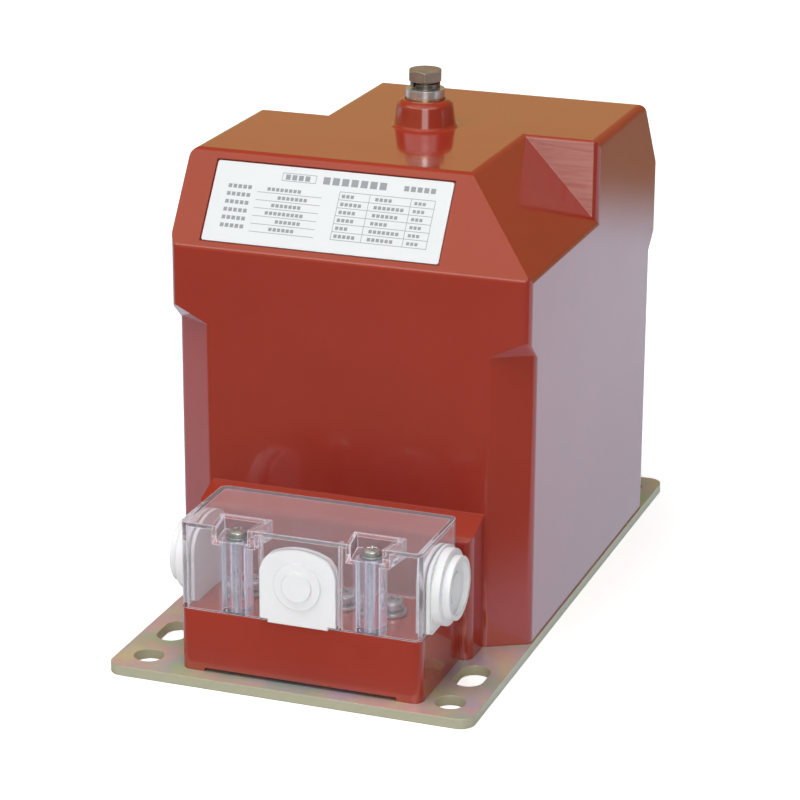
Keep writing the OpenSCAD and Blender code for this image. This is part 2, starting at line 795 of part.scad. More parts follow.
module resin_body() {
    color("#9c3523") difference() {
        union() {
            difference() {
                casting_block();
                for (k = [0, 1])
                    mirror([k, 0, 0]) {
                        corner_cut();
                        translate([0, 2 * body_shift, 0]) mirror([0, 1, 0]) corner_cut();
                    }
            }
            raised_corner();
            half_turn() raised_corner();
            boss();
            ledge();
            deck();
        }
        on_label() translate([-label_gap, -label_gap, -label_recess])
            cube([label_w + 2 * label_gap, label_h + 2 * label_gap, label_recess + eps]);
        core_form(cast_gap);
        band_form(cast_gap);
        coil_pack(cast_gap);
        hv_wire(cast_gap);
        translate([0, body_shift, hv_seat_z]) insert_form(hv_insert_d, hv_insert_l, cast_gap);
        for (s = [-1, 1])
            secondary_lead(s, cast_gap);
        primary_lead(cast_gap);
        earth_wire(cast_gap);
        at_terminals() translate([0, 0, term_seat_z])
            insert_form(term_insert_d, term_insert_l, cast_gap);
        at_cover_screws() translate([0, 0, deck_z])
            insert_form(cover_insert_d, cover_insert_l, cast_gap);
        at_corners(base_screw_x, base_screw_y) translate([0, 0, plate_t]) mirror([0, 0, 1])
            insert_form(base_insert_d, base_insert_l, cast_gap);
    }
}

module core_front_half() {
    color("#6e7276") intersection() {
        core_form(0);
        translate([-core_w, body_shift - core_l, 0]) cube([2 * core_w, core_l, top_z]);
    }
}

module core_rear_half() {
    color("#6e7276") intersection() {
        core_form(0);
        translate([-core_w, body_shift, 0]) cube([2 * core_w, core_l, top_z]);
    }
}

module core_band() {
    color("#8f9499") band_form(0);
}

module coil_former() {
    color("#c9b58a") difference() {
        union() {
            on_coil_axis(former_l) ring(former_r, former_d / 2, former_l);
            for (s = [-1, 1])
                translate([0, s * (former_l - former_flange_t) / 2, 0])
                    on_coil_axis(former_flange_t)
                        ring(barrier_r, former_d / 2, former_flange_t);
        }
        for (s = [-1, 1])
            secondary_lead(s, cast_gap);
    }
}

module secondary_winding() {
    l = winding_l - 2 * coil_gap;
    color("#b5662e") on_coil_axis(l) ring(secondary_r, former_r + coil_gap, l);
}

module barrier_tube() {
    l = winding_l - 2 * coil_gap;
    color("#d8c79a") on_coil_axis(l) ring(barrier_r, secondary_r + coil_gap, l);
}

module primary_winding() {
    color("#a85a28") primary_form(0);
}

module hv_lead() {
    color("#b87333") hv_wire(0);
}

module secondary_leads() {
    color("#b87333") for (s = [-1, 1])
        secondary_lead(s, 0);
}

module primary_earth_lead() {
    color("#b87333") primary_lead(0);
}

module earth_lead() {
    color("#b87333") earth_wire(0);
}

module hv_insert() {
    color("#b9a066") translate([0, body_shift, hv_seat_z])
        insert(hv_insert_d, hv_insert_l, hv_bolt_d + 2 * thread_gap, hv_thread_depth);
}

module hv_washers() {
    color("#c3c4c2") for (i = [0, 1])
        translate([0, body_shift, hv_seat_z + i * hv_washer_t])
            ring(hv_washer_d / 2, hv_bolt_d / 2 + screw_gap, hv_washer_t);
}

module hv_spring_washer() {
    color("#7d7f80") translate([0, body_shift, hv_spring_z])
        spring_washer(hv_spring_d, hv_bolt_d + 2 * screw_gap, hv_spring_t);
}

module hv_bolt() {
    corner_r = hv_head_af / sqrt(3);
    bevel = corner_r - hv_head_af / 2;
    bevel_h = bevel * 0.7;
    color("#a79a86") translate([0, body_shift, hv_head_z]) {
        translate([0, 0, -hv_bolt_l]) cylinder(d = hv_bolt_d, h = hv_bolt_l + hv_head_h / 2);
        intersection() {
            rotate(hv_head_turn) cylinder(r = corner_r, h = hv_head_h, $fn = 6);
            rotate_extrude()
                polygon([[0, 0], [hv_head_af / 2, 0], [corner_r, bevel_h],
                    [corner_r, hv_head_h - bevel_h], [hv_head_af / 2, hv_head_h],
                    [0, hv_head_h]]);
        }
    }
}

module nameplate() {
    color("#dcdcd8") on_label() translate([0, 0, -label_recess])
        linear_extrude(label_t) rounded_box([0, 0], [label_w, label_h], [1, 1, 1, 1]);
}

module terminal_inserts() {
    color("#b9a066") at_terminals() translate([0, 0, term_seat_z])
        insert(term_insert_d, term_insert_l, term_screw_d + 2 * thread_gap,
            term_thread_depth);
}

module terminal_washers() {
    color("#c3c4c2") at_terminals() translate([0, 0, term_seat_z])
        ring(term_washer_d / 2, term_screw_d / 2 + screw_gap, term_washer_t);
}

module terminal_spring_washers() {
    color("#8b8d8e") at_terminals() translate([0, 0, term_spring_z])
        spring_washer(term_spring_d, term_screw_d + 2 * screw_gap, term_spring_t);
}

module terminal_screws() {
    color("#c8c2a8") at_terminals() translate([0, 0, term_head_z])
        pan_screw(term_screw_d, term_screw_l, term_head_d, term_head_h);
}

// Arched outline of a grommet drawn in by g, from the height foot upwards: straight
// sides, rounded corners and a bulged top edge
module arch(g, foot) {
    r = grommet_corner_r - g;
    intersection() {
        rounded_box([-grommet_w / 2 + g, foot], [grommet_w / 2 - g, grommet_h - g],
            [0, 0, r, r]);
        translate([0, grommet_h - grommet_crown_r]) circle(grommet_crown_r - g);
    }
}

// The three grommets' places on the cover: X along the wall, Y up, Z outwards
module at_front_wall() {
    translate([deck_x, cover_y, deck_z]) rotate([90, 0, 0]) children();
}
module at_side_wall(s) {
    translate([deck_x + s * cover_w / 2, side_grommet_y, deck_z])
        rotate([90, 0, s * 90]) children();
}

// Trapezoid plan of a screw pocket grown by g, narrow at the cover's front
module screw_pocket_plan(g) {
    polygon([[-screw_pocket_front_w / 2 - g, -cover_screw_y - eps],
        [screw_pocket_front_w / 2 + g, -cover_screw_y - eps],
        [screw_pocket_w / 2 + g, screw_pocket_d - cover_screw_y + g],
        [-screw_pocket_w / 2 - g, screw_pocket_d - cover_screw_y + g]]);
}

// Outside plan of the cover, drawn in by g
module cover_plan(g) {
    rounded_box([deck_x - cover_w / 2 + g, cover_y + g],
        [deck_x + cover_w / 2 - g, cover_y + cover_d - g],
        [for (i = [0:3]) cover_corner_r - g]);
}

module terminal_cover() {
    color("#cfd6d8", 0.4) difference() {
        union() {
            difference() {
                along_z(deck_z, cover_top_z) cover_plan(0);
                along_z(deck_z - eps, cover_top_z - cover_t) cover_plan(cover_t);
            }
            intersection() {
                along_z(deck_z, cover_top_z) cover_plan(0);
                at_cover_screws() {
                    along_z(screw_floor_z - cover_t, cover_top_z) screw_pocket_plan(cover_t);
                    along_z(deck_z, screw_floor_z) circle(d = column_d);
                }
            }
            for (s = [-1, 1])
                translate([deck_x + s * (grommet_w / 2 + grommet_gap + guide_t / 2), 0, 0])
                    along_z(deck_z, cover_top_z - cover_t / 2) translate([-guide_t / 2, cover_y])
                        square([guide_t, cover_t + guide_d]);
        }
        at_cover_screws() {
            along_z(screw_floor_z, cover_top_z + eps) screw_pocket_plan(0);
            along_z(deck_z - eps, screw_floor_z + eps)
                circle(d = cover_screw_d + 2 * screw_gap);
        }
        at_front_wall() grommet_cut();
        for (s = [-1, 1])
            at_side_wall(s) grommet_cut();
    }
}

// Cut for a grommet, open at the cover's lower edge
module grommet_cut() {
    translate([0, 0, -cover_t - eps]) linear_extrude(cover_t + 2 * eps)
        arch(grommet_lap, -eps);
}

// Arched grommet that holds the wall between two flanges, its neck standing on the deck
module grommet_flanges() {
    for (z = [-cover_t - grommet_face, grommet_gap])
        translate([0, 0, z]) linear_extrude(grommet_flange_t) arch(0, grommet_foot);
    translate([0, 0, -cover_t - grommet_face]) linear_extrude(cover_t + 2 * grommet_face)
        arch(grommet_lap + grommet_gap, 0);
}

// Blank front grommet with two raised rings
module front_grommet() {
    color("#e9ebec") at_front_wall() {
        grommet_flanges();
        translate([0, ring_h, grommet_face]) {
            cylinder(d = ring_d, h = ring_step);
            cylinder(d = ring_in_d, h = 2 * ring_step);
        }
    }
}

// Side grommet: a step, then a collar with a hollow end that has a raised ring
module side_grommet(s) {
    at_side_wall(s) {
        grommet_flanges();
        translate([0, collar_h, 0]) {
            cylinder(d = step_d, h = step_l);
            difference() {
                cylinder(d = collar_d, h = collar_l);
                translate([0, 0, collar_l - collar_hollow])
                    cylinder(d = collar_d - 2 * collar_t, h = collar_hollow + eps);
            }
            cylinder(d = ring_in_d, h = collar_l - collar_hollow + ring_step);
        }
    }
}

module left_grommet() {
    color("#e9ebec") side_grommet(-1);
}

module right_grommet() {
    color("#e9ebec") side_grommet(1);
}

module cover_inserts() {
    color("#b9a066") at_cover_screws() translate([0, 0, deck_z])
        insert(cover_insert_d, cover_insert_l, cover_screw_d + 2 * thread_gap,
            cover_screw_grip + thread_past);
}

module cover_washers() {
    color("#c3c4c2") at_cover_screws() translate([0, 0, screw_floor_z])
        ring(cover_washer_d / 2, cover_screw_d / 2 + screw_gap, cover_washer_t);
}

module cover_screws() {
    color("#a9aaa6") at_cover_screws() translate([0, 0, cover_head_z])
        pan_screw(cover_screw_d, cover_screw_l, cover_head_d, cover_head_h);
}

module base_inserts() {
    depth = base_screw_l - plate_t + thread_past;
    color("#b9a066") at_corners(base_screw_x, base_screw_y) translate([0, 0, plate_t])
        mirror([0, 0, 1])
            insert(base_insert_d, base_insert_l, base_screw_d + 2 * thread_gap, depth);
}

module base_screws() {
    color("#a9aaa6") at_corners(base_screw_x, base_screw_y) {
        countersink(0);
        translate([0, 0, base_head_h / 2]) cylinder(d = base_screw_d,
            h = base_screw_l - base_head_h / 2);
    }
}

base_plate();
resin_body();
core_front_half();
core_rear_half();
core_band();
coil_former();
secondary_winding();
barrier_tube();
primary_winding();
hv_lead();
secondary_leads();
primary_earth_lead();
earth_lead();
hv_insert();
hv_washers();
hv_spring_washer();
hv_bolt();
nameplate();
terminal_inserts();
terminal_washers();
terminal_spring_washers();
terminal_screws();
terminal_cover();
cover_inserts();
cover_washers();
cover_screws();
front_grommet();
left_grommet();
right_grommet();
base_inserts();
base_screws();
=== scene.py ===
"""Voltage transformer: finishes, printed form, split washer, screws and studio for the frame.

Lengths are metres in the frame of the solids: +Z up, the terminals towards -Y, the floor at z = 0.
"""
import math

import bpy
import numpy as np
from bpy.props import FloatProperty, FloatVectorProperty, IntProperty, PointerProperty
from mathutils import Matrix, Vector


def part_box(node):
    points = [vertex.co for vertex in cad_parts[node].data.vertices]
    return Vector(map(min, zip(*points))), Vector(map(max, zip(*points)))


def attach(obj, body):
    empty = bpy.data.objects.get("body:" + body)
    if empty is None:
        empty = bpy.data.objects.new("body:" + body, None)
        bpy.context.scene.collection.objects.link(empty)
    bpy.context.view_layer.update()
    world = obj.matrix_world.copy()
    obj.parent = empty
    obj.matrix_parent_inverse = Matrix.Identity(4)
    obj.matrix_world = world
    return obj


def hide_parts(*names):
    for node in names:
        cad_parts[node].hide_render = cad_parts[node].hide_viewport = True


bl_info = {
    "name": "Voltage transformer",
    "version": (1, 0, 0),
    "blender": (4, 5, 0),
    "location": "3D View > Sidebar > Transformer",
    "description": "Finishes a cast-resin voltage transformer and sets it in a studio",
    "category": "Object",
}

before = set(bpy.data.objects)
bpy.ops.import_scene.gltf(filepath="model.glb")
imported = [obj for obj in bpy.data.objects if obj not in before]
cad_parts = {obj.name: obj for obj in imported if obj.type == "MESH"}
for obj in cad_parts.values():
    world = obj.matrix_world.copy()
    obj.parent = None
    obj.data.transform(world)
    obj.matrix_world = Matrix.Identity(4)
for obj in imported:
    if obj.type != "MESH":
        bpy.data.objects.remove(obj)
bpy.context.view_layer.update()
MM = 0.001

# Sizes of the solids that their boxes don't give
LABEL_THICK = 0.8 * MM
LABEL_DROP, LABEL_SETBACK = 34.0 * MM, 23.3 * MM
POCKET_MIDDLE_Y, POCKET_OFFSET = 20.0 * MM, 1.8 * MM
SHOULDER_Z = 156.0 * MM
COVER_HEAD_D, COVER_HEAD_H, COVER_SHANK_D = 7.0 * MM, 2.8 * MM, 4.0 * MM


# Sizes and colours that a user would change

def colour(name, text, value):
    """Colour property with its default in linear light."""
    return FloatVectorProperty(name=name, description=text, default=value, size=3, min=0, max=1,
                               subtype="COLOR")


def share(name, text, value):
    """Share between 0 and 1."""
    return FloatProperty(name=name, description=text, default=value, min=0, max=1, subtype="FACTOR")


def length(name, text, value):
    """Length in metres."""
    return FloatProperty(name=name, description=text, default=value, min=0, subtype="DISTANCE",
                         unit="LENGTH")


def angle(name, text, degrees):
    """Angle, with its default in degrees."""
    return FloatProperty(name=name, description=text, default=math.radians(degrees),
                         subtype="ANGLE", unit="ROTATION")


class CastingLook(bpy.types.PropertyGroup):
    """Finish of the resin casting."""
    red: colour("Red", "Main colour of the resin", (0.335, 0.030, 0.0175))
    deep: colour("Deep red", "Darker clouds in the resin", (0.302, 0.0255, 0.015))
    gloss: share("Roughness", "Roughness of the cast skin", 0.16)
    scuff: colour("Scuff", "Colour of the pockets' scuffed walls", (0.48, 0.22, 0.19))
    edge: length("Edge", "Radius at which sharp mould edges catch the light", 0.0007)


class PlateLook(bpy.types.PropertyGroup):
    """Finish of the base plate."""
    straw: colour("Straw", "Straw tint of the passivated zinc", (0.68, 0.63, 0.40))
    green: colour("Green", "Green tint of the passivated zinc", (0.42, 0.58, 0.41))
    pink: colour("Pink", "Pink tint of the passivated zinc", (0.70, 0.49, 0.46))
    violet: colour("Violet", "Violet tint of the passivated zinc", (0.53, 0.49, 0.67))
    rim: colour("Rim", "Pale zinc on the sheared sides", (0.57, 0.555, 0.41))
    edge: length("Edge", "Radius of the sheared edges", 0.0005)


class CoverLook(bpy.types.PropertyGroup):
    """Finish of the clear cover and the grommets."""
    tint: colour("Tint", "Tint of the clear plastic", (0.89, 0.86, 0.88))
    haze: share("Haze", "Milky share of the clear plastic", 0.04)
    # Painted light: the next two colours are emitted, so the cover's edges and the columns round its
    # screws glow
    rim: colour("Rim", "Light that the clear plastic's edges gather", (0.46, 0.45, 0.50))
    column_glow: colour("Milk", "Light that the moulded columns scatter", (0.075, 0.085, 0.115))
    white: colour("White", "Colour of the grommets", (0.80, 0.815, 0.84))


class PrintLook(bpy.types.PropertyGroup):
    """Printed form on the nameplate."""
    ink: colour("Ink", "Colour of the rules and bars", (0.31, 0.32, 0.35))
    rows: IntProperty(name="Rows", description="Number of ruled rows", default=6, min=1, max=8)
    rule: length("Rule", "Thickness of a ruled line", 0.00022)


class HardwareLook(bpy.types.PropertyGroup):
    """Screws and their threads."""
    pitch: length("Pitch", "Thread pitch of the cover screws", 0.0007)
    steel: colour("Steel", "Colour of the plated steel", (0.56, 0.57, 0.61))


class StudioSettings(bpy.types.PropertyGroup):
    """Camera, lamps and the colours that gloss mirrors."""
    lens: FloatProperty(name="Lens", description="Focal length of the camera", default=133.4886,
                        unit="CAMERA", min=1)
    place: FloatVectorProperty(name="Camera place", description="Where the camera stands",
                               default=(0.393483, -1.093787, 0.479666), size=3,
                               subtype="TRANSLATION", unit="LENGTH")
    azimuth: angle("Azimuth", "Turn of the camera to the right of the front", 19.92882)
    elevation: angle("Elevation", "How far the camera looks down", 19.08157)
    roll: angle("Roll", "Turn of the camera about its own axis", 0.24099)
    key: FloatProperty(name="Key", description="Power of the lamp above", default=16.5, min=0,
                       unit="POWER")
    strip: FloatProperty(name="Strip", description="Power of the tall strip lamp in front",
                         default=5.5, min=0, unit="POWER")
    low: FloatProperty(name="Low", description="Power of the lamp near the floor in front",
                       default=0.055, min=0, unit="POWER")
    room: FloatProperty(name="Room", description="Strength of the light from all round",
                        default=0.33, min=0)
    glow: share("Glow", "Light that lifts the seen floor to white", 0.55)
    wall: colour("Mirrored wall", "Colour that gloss mirrors low at the left", (0.50, 0.38, 0.155))
    dark: colour("Mirrored dark", "Colour that gloss mirrors elsewhere", (0.34, 0.17, 0.06))
    band: share("Mirrored band", "Brightness that gloss mirrors low in front, as a share of 4", 0.6)
    pale: colour("Mirrored light", "Colour that gloss mirrors high in front", (0.70, 0.95, 0.66))
    table: colour("Mirrored table", "Colour that gloss mirrors behind and beside",
                  (0.76, 0.86, 1.0))
    near: colour("Mirrored floor", "Colour that gloss mirrors in front", (0.17, 0.17, 0.11))
    far: colour("Mirrored end", "Colour that gloss mirrors beyond the table", (0.34, 0.23, 0.14))


LOOKS = {"vt_casting": CastingLook, "vt_plate": PlateLook, "vt_cover": CoverLook,
         "vt_print": PrintLook, "vt_hardware": HardwareLook, "vt_studio": StudioSettings}


# Meshes from arrays

def piece(name, parts, material, smooth=True):
    """Makes one object from (points, quads) parts and lets it ride on the body."""
    points = np.concatenate([p for p, _ in parts])
    starts = np.cumsum([0] + [len(p) for p, _ in parts[:-1]])
    quads = np.concatenate([q + s for (_, q), s in zip(parts, starts)])
    mesh = bpy.data.meshes.new(name)
    mesh.vertices.add(len(points))
    mesh.vertices.foreach_set("co", points.astype(np.float32).ravel())
    mesh.loops.add(quads.size)
    mesh.loops.foreach_set("vertex_index", quads.astype(np.int32).ravel())
    mesh.polygons.add(len(quads))
    mesh.polygons.foreach_set("loop_start", np.arange(0, quads.size, 4, dtype=np.int32))
    mesh.update(calc_edges=True)
    mesh.validate()
    mesh.polygons.foreach_set("use_smooth", np.full(len(mesh.polygons), smooth))
    mesh.materials.append(material)
    made = bpy.data.objects.new(name, mesh)
    bpy.context.scene.collection.objects.link(made)
    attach(made, "root")
    return made


def grid_quads(rows, columns, closed):
    """Quads of a rows by columns grid of points; closed joins the last column to the first."""
    r = np.arange(rows - 1)[:, None]
    c = np.arange(columns if closed else columns - 1)[None, :]
    n = (c + 1) % columns
    a, b = r * columns + c, r * columns + n
    return np.stack([a, b, b + columns, a + columns], -1).reshape(-1, 4)


def placed(points, origin, x, y, z):
    """Points given along the axes x, y and z, moved to origin."""
    return np.asarray(origin) + points @ np.array([x, y, z], float)


def boxes(rects, low, high):
    """Closed flat boxes over the rectangles (x0, y0, x1, y1), from height low to height high."""
    r = np.asarray(rects, float)
    xy = r[:, [[0, 1], [2, 1], [2, 3], [0, 3]]]
    flat = [np.concatenate([xy, np.full(xy.shape[:2] + (1,), h)], -1) for h in (low, high)]
    points = np.concatenate(flat, 1).reshape(-1, 3)
    faces = np.array([[3, 2, 1, 0], [4, 5, 6, 7], [0, 1, 5, 4], [1, 2, 6, 5], [2, 3, 7, 6],
                      [3, 0, 4, 7]])
    return points, (faces[None] + 8 * np.arange(len(r))[:, None, None]).reshape(-1, 4)


# Shader nodes

def add(tree, kind, at, **values):
    """New node of that kind, with its inputs or attributes set by name."""
    n = tree.nodes.new(kind)
    n.location = at
    for name, value in values.items():
        if hasattr(n, name):
            setattr(n, name, value)
        else:
            n.inputs[name.replace("_", " ")].default_value = value
    return n


def ramp(tree, source, at, low, high, start=0.0, end=1.0):
    """Smooth rise of source's value from start at low to end at high; low may be the greater."""
    n = add(tree, "ShaderNodeMapRange", at, interpolation_type="SMOOTHSTEP")
    if low > high:
        low, high, start, end = high, low, end, start
    for name, value in (("From Min", low), ("From Max", high), ("To Min", start), ("To Max", end)):
        n.inputs[name].default_value = value
    tree.links.new(source, n.inputs["Value"])
    return n.outputs["Result"]


def sums(tree, operation, at, *terms):
    """Result of one operation on sockets or numbers."""
    n = add(tree, "ShaderNodeMath", at, operation=operation)
    for k, term in enumerate(terms):
        if isinstance(term, (int, float)):
            n.inputs[k].default_value = term
        else:
            tree.links.new(term, n.inputs[k])
    return n.outputs[0]


def blend(tree, factor, at, first, second):
    """Colour between first and second, each a socket or a colour, by the socket factor."""
    n = add(tree, "ShaderNodeMix", at, data_type="RGBA")
    tree.links.new(factor, n.inputs["Factor"])
    for name, value in (("A", first), ("B", second)):
        if hasattr(value, "is_linked"):
            tree.links.new(value, n.inputs[name])
        else:
            n.inputs[name].default_value = tuple(value) + (1,)
    return n.outputs["Result"]


def shader_mix(tree, factor, at, first, second):
    """Shader between the shaders first and second, by the socket factor."""
    n = add(tree, "ShaderNodeMixShader", at)
    tree.links.new(factor, n.inputs["Fac"])
    tree.links.new(first, n.inputs[1])
    tree.links.new(second, n.inputs[2])
    return n.outputs["Shader"]


def object_place(tree, at):
    """Object coordinates as sockets: x, y and z."""
    place = add(tree, "ShaderNodeTexCoord", at)
    parts = add(tree, "ShaderNodeSeparateXYZ", (at[0] + 200, at[1]))
    tree.links.new(place.outputs["Object"], parts.inputs[0])
    return parts.outputs["X"], parts.outputs["Y"], parts.outputs["Z"]


def facing(tree, at, axis):
    """How far the face looks along an axis, either way: 0 to 1."""
    true = add(tree, "ShaderNodeNewGeometry", at)
    parts = add(tree, "ShaderNodeSeparateXYZ", (at[0] + 200, at[1]))
    tree.links.new(true.outputs["True Normal"], parts.inputs[0])
    return sums(tree, "ABSOLUTE", (at[0] + 400, at[1]), parts.outputs[axis])


def group(name, inputs, outputs):
    """New shader node group with named sockets: inputs as name: value, outputs as name: kind."""
    tree = bpy.data.node_groups.new(name, "ShaderNodeTree")
    for key, value in inputs.items():
        kind = "NodeSocketColor" if isinstance(value, tuple) else "NodeSocketFloat"
        s = tree.interface.new_socket(name=key, in_out="INPUT", socket_type=kind)
        s.default_value = value + (1,) if isinstance(value, tuple) else value
    for key, kind in outputs.items():
        tree.interface.new_socket(name=key, in_out="OUTPUT", socket_type="NodeSocket" + kind)
    return tree, tree.nodes.new("NodeGroupInput"), tree.nodes.new("NodeGroupOutput")


def colour_clouds():
    """Soft clouds between two colours, with a finer second layer."""
    tree, given, out = group("Colour clouds", {"First": (0.5, 0.5, 0.5), "Second": (0.4, 0.4, 0.4),
                                               "Scale": 30.0, "Contrast": 1.0},
                             {"Color": "Color"})
    place = add(tree, "ShaderNodeTexCoord", (-900, 0))
    broad = add(tree, "ShaderNodeTexNoise", (-700, 100), Detail=4.0, Roughness=0.6, Distortion=0.4)
    sharpen = add(tree, "ShaderNodeMath", (-500, 100), operation="SUBTRACT")
    sharpen.inputs[1].default_value = 0.5
    scale = add(tree, "ShaderNodeMath", (-350, 100), operation="MULTIPLY_ADD", use_clamp=True)
    scale.inputs[2].default_value = 0.5
    mix = add(tree, "ShaderNodeMix", (-150, 0), data_type="RGBA")
    tree.links.new(place.outputs["Object"], broad.inputs["Vector"])
    tree.links.new(given.outputs["Scale"], broad.inputs["Scale"])
    tree.links.new(broad.outputs["Fac"], sharpen.inputs[0])
    tree.links.new(sharpen.outputs[0], scale.inputs[0])
    tree.links.new(given.outputs["Contrast"], scale.inputs[1])
    tree.links.new(scale.outputs[0], mix.inputs["Factor"])
    tree.links.new(given.outputs["First"], mix.inputs["A"])
    tree.links.new(given.outputs["Second"], mix.inputs["B"])
    tree.links.new(mix.outputs["Result"], out.inputs["Color"])
    return tree


def relief():
    """Height of a skin: slow waves with fine grain on top."""
    tree, given, out = group("Relief", {"Wave scale": 20.0, "Grain scale": 900.0,
                                        "Grain share": 0.2}, {"Height": "Float"})
    place = add(tree, "ShaderNodeTexCoord", (-700, 0))
    wave = add(tree, "ShaderNodeTexNoise", (-500, 100), Detail=1.0)
    grain = add(tree, "ShaderNodeTexNoise", (-500, -100), Detail=2.0)
    mix = add(tree, "ShaderNodeMix", (-250, 0), data_type="FLOAT")
    for noise, size in ((wave, "Wave scale"), (grain, "Grain scale")):
        tree.links.new(place.outputs["Object"], noise.inputs["Vector"])
        tree.links.new(given.outputs[size], noise.inputs["Scale"])
    tree.links.new(given.outputs["Grain share"], mix.inputs["Factor"])
    tree.links.new(wave.outputs["Fac"], mix.inputs["A"])
    tree.links.new(grain.outputs["Fac"], mix.inputs["B"])
    tree.links.new(mix.outputs["Result"], out.inputs["Height"])
    return tree


def smears():
    """Roughness that varies in streaks, as handling leaves it."""
    tree, given, out = group("Smears", {"Roughness": 0.2, "Change": 0.1, "Scale": 25.0},
                             {"Roughness": "Float"})
    place = add(tree, "ShaderNodeTexCoord", (-900, 0))
    turn = add(tree, "ShaderNodeMapping", (-700, 0))
    turn.inputs["Rotation"].default_value = (0.6, 0.4, 0.9)
    turn.inputs["Scale"].default_value = (1, 3, 1)
    noise = add(tree, "ShaderNodeTexNoise", (-500, 0), Detail=5.0, Roughness=0.65)
    centre = add(tree, "ShaderNodeMath", (-330, 0), operation="SUBTRACT")
    centre.inputs[1].default_value = 0.45
    scaled = add(tree, "ShaderNodeMath", (-170, 0), operation="MULTIPLY_ADD", use_clamp=True)
    tree.links.new(place.outputs["Object"], turn.inputs["Vector"])
    tree.links.new(turn.outputs["Vector"], noise.inputs["Vector"])
    tree.links.new(given.outputs["Scale"], noise.inputs["Scale"])
    tree.links.new(noise.outputs["Fac"], centre.inputs[0])
    tree.links.new(centre.outputs[0], scaled.inputs[0])
    tree.links.new(given.outputs["Change"], scaled.inputs[1])
    tree.links.new(given.outputs["Roughness"], scaled.inputs[2])
    tree.links.new(scaled.outputs[0], out.inputs["Roughness"])
    return tree


def soft_edges():
    """Normal that turns softly round sharp edges, and a mask that is 1 on them."""
    tree, given, out = group("Soft edges", {"Radius": 0.0005}, {"Normal": "Vector", "Mask": "Float"})
    bevel = add(tree, "ShaderNodeBevel", (-600, 0), samples=6)
    true = add(tree, "ShaderNodeNewGeometry", (-600, -200))
    dot = add(tree, "ShaderNodeVectorMath", (-400, -100), operation="DOT_PRODUCT")
    mask = add(tree, "ShaderNodeMapRange", (-200, -100))
    for name, value in (("From Min", 0.995), ("From Max", 0.85), ("To Min", 0.0), ("To Max", 1.0)):
        mask.inputs[name].default_value = value
    tree.links.new(given.outputs["Radius"], bevel.inputs["Radius"])
    tree.links.new(bevel.outputs["Normal"], dot.inputs[0])
    tree.links.new(true.outputs["Normal"], dot.inputs[1])
    tree.links.new(dot.outputs["Value"], mask.inputs["Value"])
    tree.links.new(bevel.outputs["Normal"], out.inputs["Normal"])
    tree.links.new(mask.outputs["Result"], out.inputs["Mask"])
    return tree


def streaks():
    """Noise drawn out along one direction, as rubbing or a moulding tool leaves it."""
    tree, given, out = group("Streaks", {
        "X scale": 30.0, "Y scale": 1.0, "Z scale": 400.0, "Tilt": 0.0, "Detail": 2.0,
        "Roughness": 0.5, "Distortion": 0.0}, {"Mask": "Float"})
    place = add(tree, "ShaderNodeTexCoord", (-900, 200))
    size = add(tree, "ShaderNodeCombineXYZ", (-900, -100))
    lean = add(tree, "ShaderNodeCombineXYZ", (-900, 50))
    turn = add(tree, "ShaderNodeMapping", (-600, 0))
    noise = add(tree, "ShaderNodeTexNoise", (-350, 0), Scale=1.0)
    for axis in "XYZ":
        tree.links.new(given.outputs[axis + " scale"], size.inputs[axis])
    tree.links.new(given.outputs["Tilt"], lean.inputs["Y"])
    tree.links.new(place.outputs["Object"], turn.inputs["Vector"])
    tree.links.new(lean.outputs["Vector"], turn.inputs["Rotation"])
    tree.links.new(size.outputs["Vector"], turn.inputs["Scale"])
    tree.links.new(turn.outputs["Vector"], noise.inputs["Vector"])
    for name in ("Detail", "Roughness", "Distortion"):
        tree.links.new(given.outputs[name], noise.inputs[name])
    tree.links.new(noise.outputs["Fac"], out.inputs["Mask"])
    return tree


GROUPS = {}


def use(tree, builder, at, **values):
    """Places a shared node group in a material, with its own values."""
    if builder.__name__ not in GROUPS:
        GROUPS[builder.__name__] = builder()
    n = add(tree, "ShaderNodeGroup", at)
    n.node_tree = GROUPS[builder.__name__]
    for name, value in values.items():
        value = tuple(value) + (1,) if hasattr(value, "__len__") else value
        n.inputs[name.replace("_", " ")].default_value = value
    return n


def finish(name, first, second, clouds=30.0, contrast=1.0, rough=0.3, change=0.1, smear=25.0,
           wave=20.0, grain=900.0, grain_share=0.2, bump=0.05, depth=0.0005, edge=0.0004,
           edge_colour=None, **shader):
    """Principled material from the shared groups. shader sets the shader's own sockets."""
    m = bpy.data.materials.new(name)
    m.use_nodes = True
    tree = m.node_tree
    bsdf = tree.nodes["Principled BSDF"]
    for key, value in shader.items():
        bsdf.inputs[key.replace("_", " ")].default_value = value
    base = use(tree, colour_clouds, (-900, 300), First=first, Second=second, Scale=clouds,
               Contrast=contrast)
    shade = base.outputs["Color"]
    edges = use(tree, soft_edges, (-900, -300), Radius=edge)
    if edge_colour is not None:
        shade = blend(tree, edges.outputs["Mask"], (-400, 300), shade, edge_colour)
    skin = use(tree, smears, (-900, 50), Roughness=rough, Change=change, Scale=smear)
    height = use(tree, relief, (-900, -120), Wave_scale=wave, Grain_scale=grain,
                 Grain_share=grain_share)
    bumped = add(tree, "ShaderNodeBump", (-400, -200), Strength=bump, Distance=depth)
    tree.links.new(shade, bsdf.inputs["Base Color"])
    tree.links.new(skin.outputs["Roughness"], bsdf.inputs["Roughness"])
    tree.links.new(height.outputs["Height"], bumped.inputs["Height"])
    tree.links.new(edges.outputs["Normal"], bumped.inputs["Normal"])
    tree.links.new(bumped.outputs["Normal"], bsdf.inputs["Normal"])
    return m


def dress(material, *nodes):
    """Gives the material to these nodes of the frame."""
    for name in nodes:
        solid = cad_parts[name]
        solid.data.materials.clear()
        solid.data.materials.append(material)


